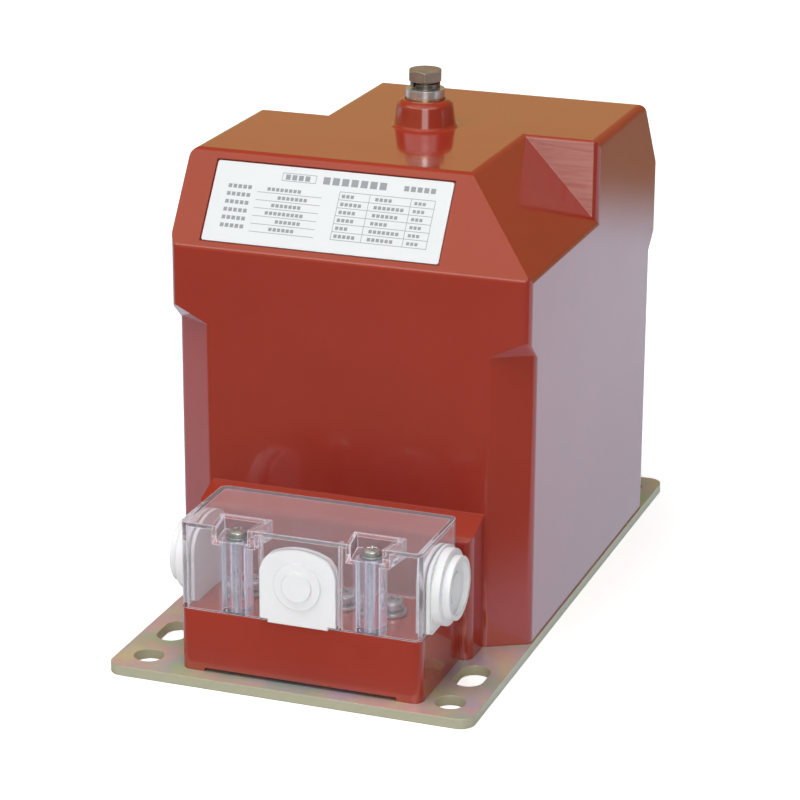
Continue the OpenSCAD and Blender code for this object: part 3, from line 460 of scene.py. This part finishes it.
def steel(name, tint, dark, rough=0.3, metal=1.0, **more):
    """Plated or bare steel; metal under 1 is a dull film on it."""
    return finish(name, tint, dark, clouds=220.0, contrast=2.5, rough=rough, change=0.25,
                  smear=300.0, wave=400.0, grain=3000.0, grain_share=0.5, bump=0.12,
                  depth=0.0001, Metallic=metal, **more)


# Operators

class VT_OT_casting(bpy.types.Operator):
    """Gives the casting its glossy red-brown resin skin"""
    bl_idname = "vt.casting"
    bl_label = "Casting"

    def execute(self, context):
        look = context.scene.vt_casting
        resin = finish("Cast resin", look.red, look.deep, clouds=14.0, contrast=2.0,
                       rough=look.gloss, change=0.12, smear=18.0, wave=16.0, grain=700.0,
                       grain_share=0.06, bump=0.25, depth=0.0012, edge=look.edge,
                       Coat_Weight=0.7, Coat_Roughness=0.06, IOR=1.53)
        scuff_pockets(resin.node_tree, look.scuff)
        dress(resin, "resin_body")
        return {"FINISHED"}


def scuff_pockets(tree, tint):
    """Rubs the walls of the two corner pockets dull and pale. A wall is where the face looks
    front or back and lies POCKET_OFFSET from the plane y = POCKET_MIDDLE_Y, in front of it at
    the right and behind it at the left."""
    bsdf = tree.nodes["Principled BSDF"]
    x, y, z = object_place(tree, (-2000, 600))
    ahead = sums(tree, "SUBTRACT", (-1600, 600), POCKET_MIDDLE_Y, y)
    off = sums(tree, "MULTIPLY", (-1400, 550), ahead, sums(tree, "SIGN", (-1600, 450), x))
    miss = sums(tree, "ABSOLUTE", (-1250, 550),
                sums(tree, "SUBTRACT", (-1300, 700), off, POCKET_OFFSET))
    mask = ramp(tree, miss, (-1100, 550), 0.4 * MM, 0.2 * MM)
    looks = ramp(tree, facing(tree, (-2000, 850), "Y"), (-1100, 850), 0.9, 0.97)
    high = ramp(tree, z, (-1100, 300), SHOULDER_Z - MM, SHOULDER_Z + MM)
    mask = sums(tree, "MULTIPLY", (-900, 700), sums(tree, "MULTIPLY", (-1000, 700), mask, looks),
                high)
    rubbed = use(tree, streaks, (-1600, 100), X_scale=30.0, Y_scale=1.0, Z_scale=420.0, Tilt=0.18,
                 Detail=4.0, Roughness=0.7, Distortion=0.6)
    worn = sums(tree, "MULTIPLY", (-800, 700), mask,
                ramp(tree, rubbed.outputs["Mask"], (-1300, 100), 0.3, 0.62, 0.55, 1.0))
    shade = bsdf.inputs["Base Color"].links[0].from_socket
    rough = bsdf.inputs["Roughness"].links[0].from_socket
    tree.links.new(blend(tree, worn, (-300, 600), shade, tint), bsdf.inputs["Base Color"])
    tree.links.new(sums(tree, "MULTIPLY_ADD", (-300, 150), mask, 0.4, rough),
                   bsdf.inputs["Roughness"])
    tree.links.new(sums(tree, "MULTIPLY_ADD", (-300, -50), mask, -0.65, 0.7),
                   bsdf.inputs["Coat Weight"])


class VT_OT_plate(bpy.types.Operator):
    """Gives the base plate its iridescent passivated zinc"""
    bl_idname = "vt.plate"
    bl_label = "Base plate"

    def execute(self, context):
        look = context.scene.vt_plate
        zinc = finish("Passivated zinc", look.straw, look.green, clouds=26.0, contrast=5.0,
                      rough=0.34, change=0.22, smear=60.0, wave=90.0, grain=1400.0,
                      grain_share=0.5, bump=0.10, depth=0.0003, edge=look.edge,
                      edge_colour=look.rim, Metallic=0.45)
        tree = zinc.node_tree
        base = next(n for n in tree.nodes if n.type == "GROUP" and "First" in n.inputs)
        blush = use(tree, colour_clouds, (-1200, 450), First=look.straw, Second=look.pink,
                    Scale=39.0, Contrast=6.0)
        shade = use(tree, colour_clouds, (-1200, 200), First=look.green, Second=look.violet,
                    Scale=33.0, Contrast=6.0)
        tree.links.new(blush.outputs["Color"], base.inputs["First"])
        tree.links.new(shade.outputs["Color"], base.inputs["Second"])
        bsdf = tree.nodes["Principled BSDF"]
        upright = ramp(tree, facing(tree, (-900, 700), "Z"), (-400, 700), 0.9, 0.5)
        clouds = bsdf.inputs["Base Color"].links[0].from_socket
        tree.links.new(blend(tree, upright, (-150, 500), clouds, look.rim),
                       bsdf.inputs["Base Color"])
        dress(zinc, "base_plate")
        return {"FINISHED"}


class VT_OT_nameplate(bpy.types.Operator):
    """Finishes the nameplate and prints a plain ruled form on it"""
    bl_idname = "vt.nameplate"
    bl_label = "Nameplate"

    def execute(self, context):
        look = context.scene.vt_print
        dress(finish("Printed plate", (0.70, 0.715, 0.74), (0.67, 0.685, 0.71), clouds=60.0,
                     rough=0.32, change=0.1, wave=70.0, grain=1500.0, bump=0.06, depth=0.0003,
                     edge=0.0003, edge_colour=(0.55, 0.56, 0.58), Metallic=0.0,
                     Coat_Weight=0.25), "nameplate")
        low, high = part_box("nameplate")
        tilt = math.atan2(LABEL_DROP, LABEL_SETBACK)
        up = (0, math.cos(tilt), math.sin(tilt))
        out = (0, -math.sin(tilt), math.cos(tilt))
        wide = high.x - low.x
        tall = (high.z - low.z - LABEL_THICK * math.cos(tilt)) / math.sin(tilt)
        corner = (low.x, low.y + LABEL_THICK * math.sin(tilt), low.z)
        rects = form_rects(wide / MM, tall / MM, look.rows, look.rule / MM) * MM
        points, quads = boxes(rects, LABEL_THICK, LABEL_THICK + 0.04 * MM)
        ink = finish("Form ink", look.ink, tuple(0.8 * c for c in look.ink), clouds=400.0,
                     rough=0.45, bump=0.02, edge=0.0)
        printed = piece("nameplate_form",
                        [(placed(points, corner, (1, 0, 0), up, out), quads)], ink, smooth=False)
        return {"FINISHED"}


def form_rects(wide, tall, rows, rule):
    """Rectangles of a generic form, in millimetres: words are rows of plain blocks, in boxes
    at the right and over rules at the left."""
    rects = []

    def word(x0, x1, middle, high):
        """Blocks from x0 to x1 about the height middle."""
        step = high * 1.3
        for k in range(int((x1 - x0) / step)):
            rects.append((x0 + k * step, middle - high / 2, x0 + k * step + high * 0.95,
                          middle + high / 2))

    head = tall - 4.4
    word(wide * 0.30, wide * 0.42, head, 2.1)
    word(wide * 0.46, wide * 0.77, head, 3.0)
    word(wide * 0.80, wide * 0.95, head, 2.1)
    x0, x1, y0, y1 = wide * 0.285, wide * 0.43, head - 1.7, head + 1.7
    rects.extend([(x0, y0, x1, y0 + rule), (x0, y1 - rule, x1, y1),
                  (x0, y0, x0 + rule, y1), (x1 - rule, y0, x1, y1)])
    top = tall - 8.4
    step = (top - 5.4) / rows
    left, right = 53.0, wide - 6.0
    for i in range(rows):
        y = top - step * i
        word(6.5, 17.0 + (i % 2), y - step / 2, 1.6)
        rects.append((19.0, y - step, 46.0, y - step + rule))
        word(23.0 + (i * 5) % 7, 38.0 + (i * 3) % 5, y - step / 2, 1.4)
        rects.append((left, y - step, right, y - step + rule))
        word(left + 1.2, left + 8.0 + (i * 3) % 4, y - step / 2, 1.4)
        word(left + 15.0, left + 23.0 + (i * 5) % 7, y - step / 2, 1.4)
        word(right - 8.4, right - 2.0, y - step / 2, 1.3)
    rects.append((left, top, right, top + rule))
    for x in (left, left + 12.5, right - 10.0, right - rule):
        rects.append((x, top - step * rows, x + rule, top))
    return np.array(rects)


class VT_OT_hv_terminal(bpy.types.Operator):
    """Finishes the high-voltage terminal on top and makes its split washer"""
    bl_idname = "vt.hv_terminal"
    bl_label = "High-voltage terminal"

    def execute(self, context):
        dress(steel("Plated bolt", (0.40, 0.34, 0.29), (0.27, 0.23, 0.20), rough=0.34, metal=0.6,
                    edge=0.0004, edge_colour=(0.56, 0.53, 0.48)), "hv_bolt")
        spring = steel("Spring steel", (0.25, 0.25, 0.24), (0.12, 0.12, 0.12), rough=0.3,
                       edge=0.0003, edge_colour=(0.5, 0.5, 0.48))
        dress(spring, "terminal_spring_washers")
        low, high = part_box("hv_spring_washer")
        middle = ((low.x + high.x) / 2, (low.y + high.y) / 2, low.z)
        points, quads = open_coil((high.x - low.x) / 2, wide=1.7 * MM, high=high.z - low.z,
                                  thick=2.1 * MM, start=4.3)
        made = piece("hv_spring_washer_coil", [(points + np.array(middle), quads)], spring,
                     smooth=False)
        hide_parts("hv_spring_washer")
        dress(steel("Plated washer", (0.66, 0.68, 0.71), (0.52, 0.54, 0.57), rough=0.22, metal=0.75,
                    edge=0.0003), "hv_washers", "terminal_washers", "cover_washers")
        dress(steel("Insert brass", (0.62, 0.48, 0.34), (0.45, 0.33, 0.24), rough=0.3,
                    edge=0.0003), "hv_insert", "terminal_inserts", "cover_inserts",
              "base_inserts")
        return {"FINISHED"}


def open_coil(radius, wide, high, thick, start, steps=72, slit=0.16):
    """Split washer with free ends: a rectangle wide by thick swept from the angle start round by
    u and lifted by (high - thick) u / U, where U is the whole turn less the slit."""
    t = np.linspace(0, 1, steps)[:, None]
    u = start + t * (2 * np.pi - slit)
    r = radius - np.array([[0.0, 0.0, wide, wide]])
    z = np.array([[0.0, thick, thick, 0.0]]) + t * (high - thick)
    points = np.stack([r * np.cos(u), r * np.sin(u), z], -1).reshape(-1, 3)
    last = 4 * (steps - 1)
    ends = np.array([[0, 3, 2, 1], [last, last + 1, last + 2, last + 3]])
    return points, np.concatenate([grid_quads(steps, 4, True)[:, ::-1], ends])


class VT_OT_screws(bpy.types.Operator):
    """Makes the cover screws with their threads and finishes the other screws"""
    bl_idname = "vt.screws"
    bl_label = "Screws"

    def execute(self, context):
        look = context.scene.vt_hardware
        plated = steel("Plated screw", look.steel, tuple(0.7 * c for c in look.steel), rough=0.28,
                       metal=0.7, edge=0.0002)
        dress(plated, "terminal_screws", "base_screws")
        middle, reach, y, foot, top = cover_screw_places()
        seat = top - COVER_HEAD_H
        parts = []
        for side, turn in ((-1, 20), (1, 70)):
            at = np.array([middle + side * reach, y, seat])
            for points, quads in (screw_head(COVER_HEAD_D / 2, COVER_HEAD_H, turn),
                                  thread(COVER_SHANK_D / 2, look.pitch, seat - foot)):
                parts.append((points + at, quads))
        made = piece("cover_screws_threaded", parts, plated)
        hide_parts("cover_screws")
        return {"FINISHED"}


def cover_screw_places():
    """Middle x of the two cover screws, half their distance, their y, and their lowest and
    highest z."""
    low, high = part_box("cover_screws")
    return ((low.x + high.x) / 2, (high.x - low.x - COVER_HEAD_D) / 2, (low.y + high.y) / 2,
            low.z, high.z)


def thread(radius, pitch, depth, sides=28):
    """Threaded shank below z = 0: radius r(u, z) = radius - k * |2 f - 1|, where f is the
    fraction of z / pitch - u / 2 pi and k the thread's depth; the end tapers in."""
    k = 0.61 * pitch
    z = np.linspace(0, -depth, int(depth / pitch * 6))[:, None]
    u = np.linspace(0, 2 * np.pi, sides, endpoint=False)[None, :]
    f = np.mod(z / pitch - u / (2 * np.pi), 1)
    r = radius - k * np.abs(2 * f - 1)
    r = np.minimum(r, radius - k + (depth + z) * 0.7)
    rim = np.stack([r * np.cos(u), r * np.sin(u), z + 0 * u], -1)
    tip = np.zeros((1, sides, 3))
    tip[..., 2] = -depth
    points = np.concatenate([rim, tip]).reshape(-1, 3)
    return points, grid_quads(len(z) + 1, sides, True)[:, ::-1]


def screw_head(radius, height, turn):
    """Pan head on z = 0 with a cross recess: z(r, u) = height (1 - (r / R)^4 / 3), less 0.45 of
    height where the distance to either arm's middle line is under its half width; turn is the
    cross's angle in degrees."""
    sides = 96
    u = np.linspace(0, 2 * np.pi, sides, endpoint=False)[None, :]
    r = np.concatenate([[0], np.linspace(0.03, 0.97, 30), [1.0]])[:, None] * radius
    x, y = r * np.cos(u + math.radians(turn)), r * np.sin(u + math.radians(turn))
    arm = np.minimum(np.abs(x), np.abs(y))
    inside = np.clip((0.15 * radius - arm) / (0.05 * radius), 0, 1)
    near = np.clip((0.62 * radius - r) / (0.12 * radius), 0, 1)
    dome = height * (1 - (r / radius) ** 4 / 3)
    z = dome - 0.45 * height * inside * near
    top = np.stack([r * np.cos(u), r * np.sin(u), z + 0 * u], -1)
    side = [np.stack([q * radius * np.cos(u), q * radius * np.sin(u), h + 0 * u], -1)
            for q, h in ((1.0, 0.25 * height), (0.97, 0.06 * height), (0.9, 0.0), (0.0, 0.0))]
    points = np.concatenate([top] + side).reshape(-1, 3)
    return points, grid_quads(len(r) + len(side), sides, True)[:, ::-1]


class VT_OT_cover(bpy.types.Operator):
    """Gives the cover its clear plastic, which shadows and all gloss from outside pass, and a
    painted glow
    """
    bl_idname = "vt.cover"
    bl_label = "Clear cover"

    def execute(self, context):
        look = context.scene.vt_cover
        m = bpy.data.materials.new("Clear plastic")
        m.use_nodes = True
        tree = m.node_tree
        bsdf = tree.nodes["Principled BSDF"]
        bsdf.inputs["Base Color"].default_value = tuple(look.tint) + (1,)
        bsdf.inputs["Transmission Weight"].default_value = 1 - look.haze
        bsdf.inputs["IOR"].default_value = 1.49
        skin = use(tree, smears, (-700, 0), Roughness=0.03, Change=0.06, Scale=40.0)
        edges = use(tree, soft_edges, (-900, -300), Radius=0.0005)
        height = use(tree, relief, (-900, -120), Wave_scale=45.0, Grain_scale=800.0,
                     Grain_share=0.03)
        bumped = add(tree, "ShaderNodeBump", (-400, -200), Strength=0.12, Distance=0.0006)
        # Painted light: the emission makes the whole cover glow faintly, its edges brightly and the
        # columns round its screws a little, so that they look milky
        rim = blend(tree, edges.outputs["Mask"], (-400, -450), (0.02, 0.018, 0.02), look.rim)
        column_glow = blend(tree, glowing_columns(tree), (-150, -450), rim, look.column_glow)
        bsdf.inputs["Emission Strength"].default_value = 1.0
        tree.links.new(column_glow, bsdf.inputs["Emission Color"])
        tree.links.new(skin.outputs["Roughness"], bsdf.inputs["Roughness"])
        tree.links.new(height.outputs["Height"], bumped.inputs["Height"])
        tree.links.new(edges.outputs["Normal"], bumped.inputs["Normal"])
        tree.links.new(bumped.outputs["Normal"], bsdf.inputs["Normal"])
        out = tree.nodes["Material Output"]
        clear = add(tree, "ShaderNodeBsdfTransparent", (200, -200), Color=(0.86, 0.86, 0.88, 1))
        path = add(tree, "ShaderNodeLightPath", (-200, 300))
        outside = sums(tree, "MULTIPLY", (100, 200), path.outputs["Is Glossy Ray"], sums(
            tree, "LESS_THAN", (-50, 100), path.outputs["Transmission Depth"], 0.5))
        passed = sums(tree, "MAXIMUM", (250, 300), path.outputs["Is Shadow Ray"], outside)
        tree.links.new(shader_mix(tree, passed, (450, 0), bsdf.outputs["BSDF"],
                                  clear.outputs["BSDF"]), out.inputs["Surface"])
        dress(m, "terminal_cover")
        return {"FINISHED"}


def glowing_columns(tree):
    """Mask of the painted glow on the moulded columns round the cover screws: 1 within 6 mm of a
    screw's middle line along x and along y, below its head, in upright streaks."""
    middle, reach, row, _, top = cover_screw_places()
    x, y, z = object_place(tree, (-2000, -900))
    off = sums(tree, "ABSOLUTE", (-1500, -900), sums(tree, "SUBTRACT", (-1600, -900), x, middle))
    off = sums(tree, "ABSOLUTE", (-1300, -900), sums(tree, "SUBTRACT", (-1400, -900), off, reach))
    deep = sums(tree, "ABSOLUTE", (-1300, -1100), sums(tree, "SUBTRACT", (-1400, -1100), y, row))
    mask = sums(tree, "MULTIPLY", (-900, -1000),
                ramp(tree, off, (-1100, -900), 6.2 * MM, 5.8 * MM),
                ramp(tree, deep, (-1100, -1100), 6.2 * MM, 5.8 * MM))
    mask = sums(tree, "MULTIPLY", (-800, -1100), mask,
                ramp(tree, z, (-1100, -1300), top - 3.5 * MM, top - 4.5 * MM))
    drawn = use(tree, streaks, (-1300, -1400), X_scale=600.0, Y_scale=600.0, Z_scale=12.0)
    return sums(tree, "MULTIPLY", (-600, -1100), mask,
                ramp(tree, drawn.outputs["Mask"], (-1100, -1500), 0.35, 0.65, 0.25, 1.0))


class VT_OT_grommets(bpy.types.Operator):
    """Finishes the white cable grommets"""
    bl_idname = "vt.grommets"
    bl_label = "Cable grommets"

    def execute(self, context):
        look = context.scene.vt_cover
        white = finish("Grommet plastic", look.white, tuple(0.93 * c for c in look.white),
                       clouds=120.0, rough=0.42, change=0.12, smear=120.0, wave=120.0,
                       grain=1500.0, grain_share=0.4, bump=0.06, depth=0.0003, edge=0.0007,
                       Subsurface_Weight=0.15, Subsurface_Scale=0.002)
        dress(white, "front_grommet", "left_grommet", "right_grommet")
        return {"FINISHED"}


class VT_OT_inner_parts(bpy.types.Operator):
    """Finishes the core, the coil and the leads inside the casting"""
    bl_idname = "vt.inner_parts"
    bl_label = "Inner parts"

    def execute(self, context):
        dress(steel("Core steel", (0.30, 0.31, 0.33), (0.20, 0.20, 0.22), rough=0.4),
              "core_front_half", "core_rear_half")
        dress(steel("Band steel", (0.52, 0.53, 0.55), (0.40, 0.41, 0.43), rough=0.3), "core_band")
        dress(finish("Pressboard", (0.52, 0.40, 0.22), (0.44, 0.33, 0.18), clouds=80.0,
                     rough=0.7, bump=0.2), "coil_former")
        dress(finish("Impregnated paper", (0.62, 0.50, 0.28), (0.54, 0.43, 0.24), clouds=60.0,
                     rough=0.6, bump=0.2), "barrier_tube")
        copper = finish("Wound copper", (0.42, 0.14, 0.05), (0.34, 0.10, 0.04), clouds=300.0,
                        rough=0.3, wave=500.0, bump=0.3, Metallic=0.9)
        dress(copper, "secondary_winding", "primary_winding")
        dress(finish("Lead copper", (0.55, 0.22, 0.10), (0.46, 0.18, 0.08), clouds=300.0,
                     rough=0.3, Metallic=0.9), "hv_lead", "secondary_leads",
              "primary_earth_lead", "earth_lead")
        return {"FINISHED"}


class VT_OT_studio(bpy.types.Operator):
    """Sets the camera, the pale floor, the light of the room and the lamps"""
    bl_idname = "vt.studio"
    bl_label = "Studio"

    def execute(self, context):
        s = context.scene.vt_studio
        eye = bpy.data.cameras.new("camera")
        eye.lens = s.lens
        eye.sensor_width = 36.0
        eye.clip_start = 0.05
        eye.clip_end = 60.0
        camera = bpy.data.objects.new("camera", eye)
        context.scene.collection.objects.link(camera)
        camera.matrix_world = (Matrix.Translation(s.place) @ Matrix.Rotation(s.azimuth, 4, "Z")
                               @ Matrix.Rotation(math.pi / 2 - s.elevation, 4, "X")
                               @ Matrix.Rotation(s.roll, 4, "Z"))
        context.scene.camera = camera

        stage_sheet("floor", 9.0, white_ground(s))
        light_room(context.scene, s)
        lamp("key_lamp", at=(-0.15, -0.42, 1.40), target=(0.0, 0.0, 0.15), wide=1.1, tall=0.9,
             power=s.key, tint=(1.0, 0.99, 0.97), mirrored=False)
        lamp("strip_lamp", at=(0.513, -1.41, 0.55), target=(0.0, 0.0, 0.2), wide=0.65, tall=0.9,
             power=s.strip, tint=(1.0, 0.98, 0.96), mirrored=True)
        lamp("low_lamp", at=(0.0, -0.31, 0.03), target=(0.0, -0.13, 0.02), wide=0.30, tall=0.05,
             power=s.low, tint=(1.0, 0.97, 0.93), mirrored=False)
        context.scene.view_settings.view_transform = "Standard"
        return {"FINISHED"}


def light_room(scene, s):
    """World: white to the camera and glass, the painted room to gloss, and an even pale light
    to all else."""
    world = scene.world or bpy.data.worlds.new("World")
    scene.world = world
    world.use_nodes = True
    tree = world.node_tree
    tree.nodes.clear()
    out = add(tree, "ShaderNodeOutputWorld", (600, 0))
    seen = add(tree, "ShaderNodeBackground", (200, 150), Color=(1, 1, 1, 1), Strength=1.0)
    lit = add(tree, "ShaderNodeBackground", (0, -150), Color=(0.97, 0.98, 1, 1), Strength=s.room)
    mirrored = add(tree, "ShaderNodeBackground", (0, -300), Strength=1.0)
    tree.links.new(mirrored_room(tree, s), mirrored.inputs["Color"])
    path = add(tree, "ShaderNodeLightPath", (-200, 300))
    either = sums(tree, "MAXIMUM", (0, 300), path.outputs["Is Camera Ray"],
                  path.outputs["Is Transmission Ray"])
    rest = shader_mix(tree, path.outputs["Is Glossy Ray"], (200, -100), lit.outputs[0],
                      mirrored.outputs[0])
    tree.links.new(shader_mix(tree, either, (400, 0), rest, seen.outputs[0]),
                   out.inputs["Surface"])


def mirrored_room(tree, s):
    """Colour that gloss sees in the room by direction (x, y, z): the wall's low at the left, the
    pale ceiling's high in front, a bright band below it, and the dark elsewhere."""
    toward = add(tree, "ShaderNodeTexCoord", (-1400, -300))
    part = add(tree, "ShaderNodeSeparateXYZ", (-1200, -300))
    tree.links.new(toward.outputs["Generated"], part.inputs[0])
    x, y, z = part.outputs["X"], part.outputs["Y"], part.outputs["Z"]
    left = sums(tree, "MULTIPLY", (-800, -200), ramp(tree, x, (-1000, -100), 0.22, -0.02),
                ramp(tree, z, (-1000, -300), 0.36, 0.28))
    above = sums(tree, "MULTIPLY", (-800, -500), ramp(tree, y, (-1000, -500), 0.05, -0.35),
                 ramp(tree, z, (-1000, -700), 0.35, 0.62))
    level = sums(tree, "MULTIPLY", (-900, -1000), ramp(tree, z, (-1100, -1000), 0.34, 0.40),
                 ramp(tree, z, (-1100, -1200), 0.62, 0.54))
    band = sums(tree, "MULTIPLY", (-800, -800), ramp(tree, y, (-1000, -900), -0.2, -0.5), level)
    walls = blend(tree, left, (-600, -300), s.dark, s.wall)
    room = blend(tree, above, (-400, -300), walls, s.pale)
    return blend(tree, band, (-200, -300), room, (4 * s.band, 4 * s.band, 3.8 * s.band))


def stage_sheet(name, half, material):
    """Flat square sheet just under z = 0, from -half to half both ways."""
    z = -0.2 * MM
    mesh = bpy.data.meshes.new(name)
    mesh.from_pydata([(-half, -half, z), (half, -half, z), (half, half, z), (-half, half, z)], [],
                     [(0, 1, 2, 3)])
    mesh.materials.append(material)
    made = bpy.data.objects.new(name, mesh)
    bpy.context.scene.collection.objects.link(made)
    return made


def mirrored_floor(tree, s):
    """Colour that gloss sees on the ground at (x, y): the near colour in front, the table's behind
    and beside, darkened by a painted shadow up to the object and paler out at the right, the far
    colour beyond its end, and painted shade, dark, in the plate's holes."""
    x, y, _ = object_place(tree, (-2000, -500))
    # Painted shadow: the mirrored table is darker near the object and to its left, full out at the
    # right
    shade = blend(tree, ramp(tree, x, (-1150, -800), 0.07, 0.18), (-800, -700),
                  tuple(0.85 * c for c in s.table), s.table)
    back = blend(tree, ramp(tree, y, (-1150, -1000), 0.50, 0.68), (-600, -700), shade, s.far)
    ground = blend(tree, ramp(tree, y, (-1150, -1200), -0.17, -0.09), (-400, -500), s.near, back)
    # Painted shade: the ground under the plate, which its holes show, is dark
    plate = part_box("base_plate")[1]
    within = [ramp(tree, sums(tree, "ABSOLUTE", (-1300, at), axis), (-1150, at), half + 2 * MM,
                   half - MM) for axis, half, at in ((x, plate.x, -1400), (y, plate.y, -1600))]
    return blend(tree, sums(tree, "MULTIPLY", (-600, -1400), *within), (-200, -500), ground,
                 (0.20, 0.14, 0.10))


def white_ground(s):
    """Pale ground that the camera and glass see as white, shadows kept: s.glow is added to what
    they see, and more far from the object."""
    m = bpy.data.materials.new("Ground")
    m.use_nodes = True
    tree = m.node_tree
    bsdf = tree.nodes["Principled BSDF"]
    bsdf.inputs["Base Color"].default_value = (0.8, 0.8, 0.8, 1)
    bsdf.inputs["Roughness"].default_value = 0.9
    bsdf.inputs["Specular IOR Level"].default_value = 0.0
    path = add(tree, "ShaderNodeLightPath", (-300, 400))
    either = sums(tree, "MAXIMUM", (-100, 400), path.outputs["Is Camera Ray"],
                  path.outputs["Is Transmission Ray"])
    place = add(tree, "ShaderNodeTexCoord", (-900, -200))
    away = add(tree, "ShaderNodeVectorMath", (-700, -200), operation="LENGTH")
    tree.links.new(place.outputs["Object"], away.inputs[0])
    glow = add(tree, "ShaderNodeEmission", (0, -200), Color=(1, 1, 1, 1))
    tree.links.new(ramp(tree, away.outputs["Value"], (-400, -200), 0.35, 1.4, s.glow, 0.85),
                   glow.inputs["Strength"])
    both = add(tree, "ShaderNodeAddShader", (200, -100))
    tree.links.new(bsdf.outputs[0], both.inputs[0])
    tree.links.new(glow.outputs[0], both.inputs[1])
    white = shader_mix(tree, either, (400, 100), bsdf.outputs[0], both.outputs[0])
    gloss = add(tree, "ShaderNodeEmission", (200, -300), Strength=1.0)
    tree.links.new(mirrored_floor(tree, s), gloss.inputs["Color"])
    last = shader_mix(tree, path.outputs["Is Glossy Ray"], (600, 0), white, gloss.outputs[0])
    tree.links.new(last, tree.nodes["Material Output"].inputs["Surface"])
    return m


def lamp(name, at, target, wide, tall, power, tint, mirrored):
    """Soft rectangular lamp at a point, turned to its target; mirrored says if gloss and glass
    see it."""
    data = bpy.data.lights.new(name, "AREA")
    data.shape = "RECTANGLE"
    data.size = wide
    data.size_y = tall
    data.energy = power
    data.color = tint
    made = bpy.data.objects.new(name, data)
    made.location = at
    made.rotation_euler = (Vector(at) - Vector(target)).to_track_quat("Z", "Y").to_euler()
    made.visible_camera = False
    made.visible_glossy = made.visible_transmission = mirrored
    bpy.context.scene.collection.objects.link(made)


class VT_PT_panel(bpy.types.Panel):
    """Steps and settings of the voltage transformer"""
    bl_idname = "VT_PT_panel"
    bl_label = "Voltage transformer"
    bl_space_type = "VIEW_3D"
    bl_region_type = "UI"
    bl_category = "Transformer"

    def draw(self, context):
        for step in STEPS:
            self.layout.operator(step.bl_idname)
        for name, look in LOOKS.items():
            box = self.layout.box()
            for key in look.__annotations__:
                box.prop(getattr(context.scene, name), key)


STEPS = (VT_OT_studio, VT_OT_casting, VT_OT_plate, VT_OT_nameplate, VT_OT_hv_terminal,
         VT_OT_screws, VT_OT_cover, VT_OT_grommets, VT_OT_inner_parts)


def register():
    """Registers the classes and hangs the settings on the scene."""
    for c in (*LOOKS.values(), *STEPS, VT_PT_panel):
        bpy.utils.register_class(c)
    for name, look in LOOKS.items():
        setattr(bpy.types.Scene, name, PointerProperty(type=look))


def unregister():
    """Takes the settings and classes away again."""
    for name in LOOKS:
        delattr(bpy.types.Scene, name)
    for c in reversed((*LOOKS.values(), *STEPS, VT_PT_panel)):
        bpy.utils.unregister_class(c)


def main():
    register()
    for step in STEPS:
        area, name = step.bl_idname.split(".")
        getattr(getattr(bpy.ops, area), name)()


if __name__ == "__main__":
    main()
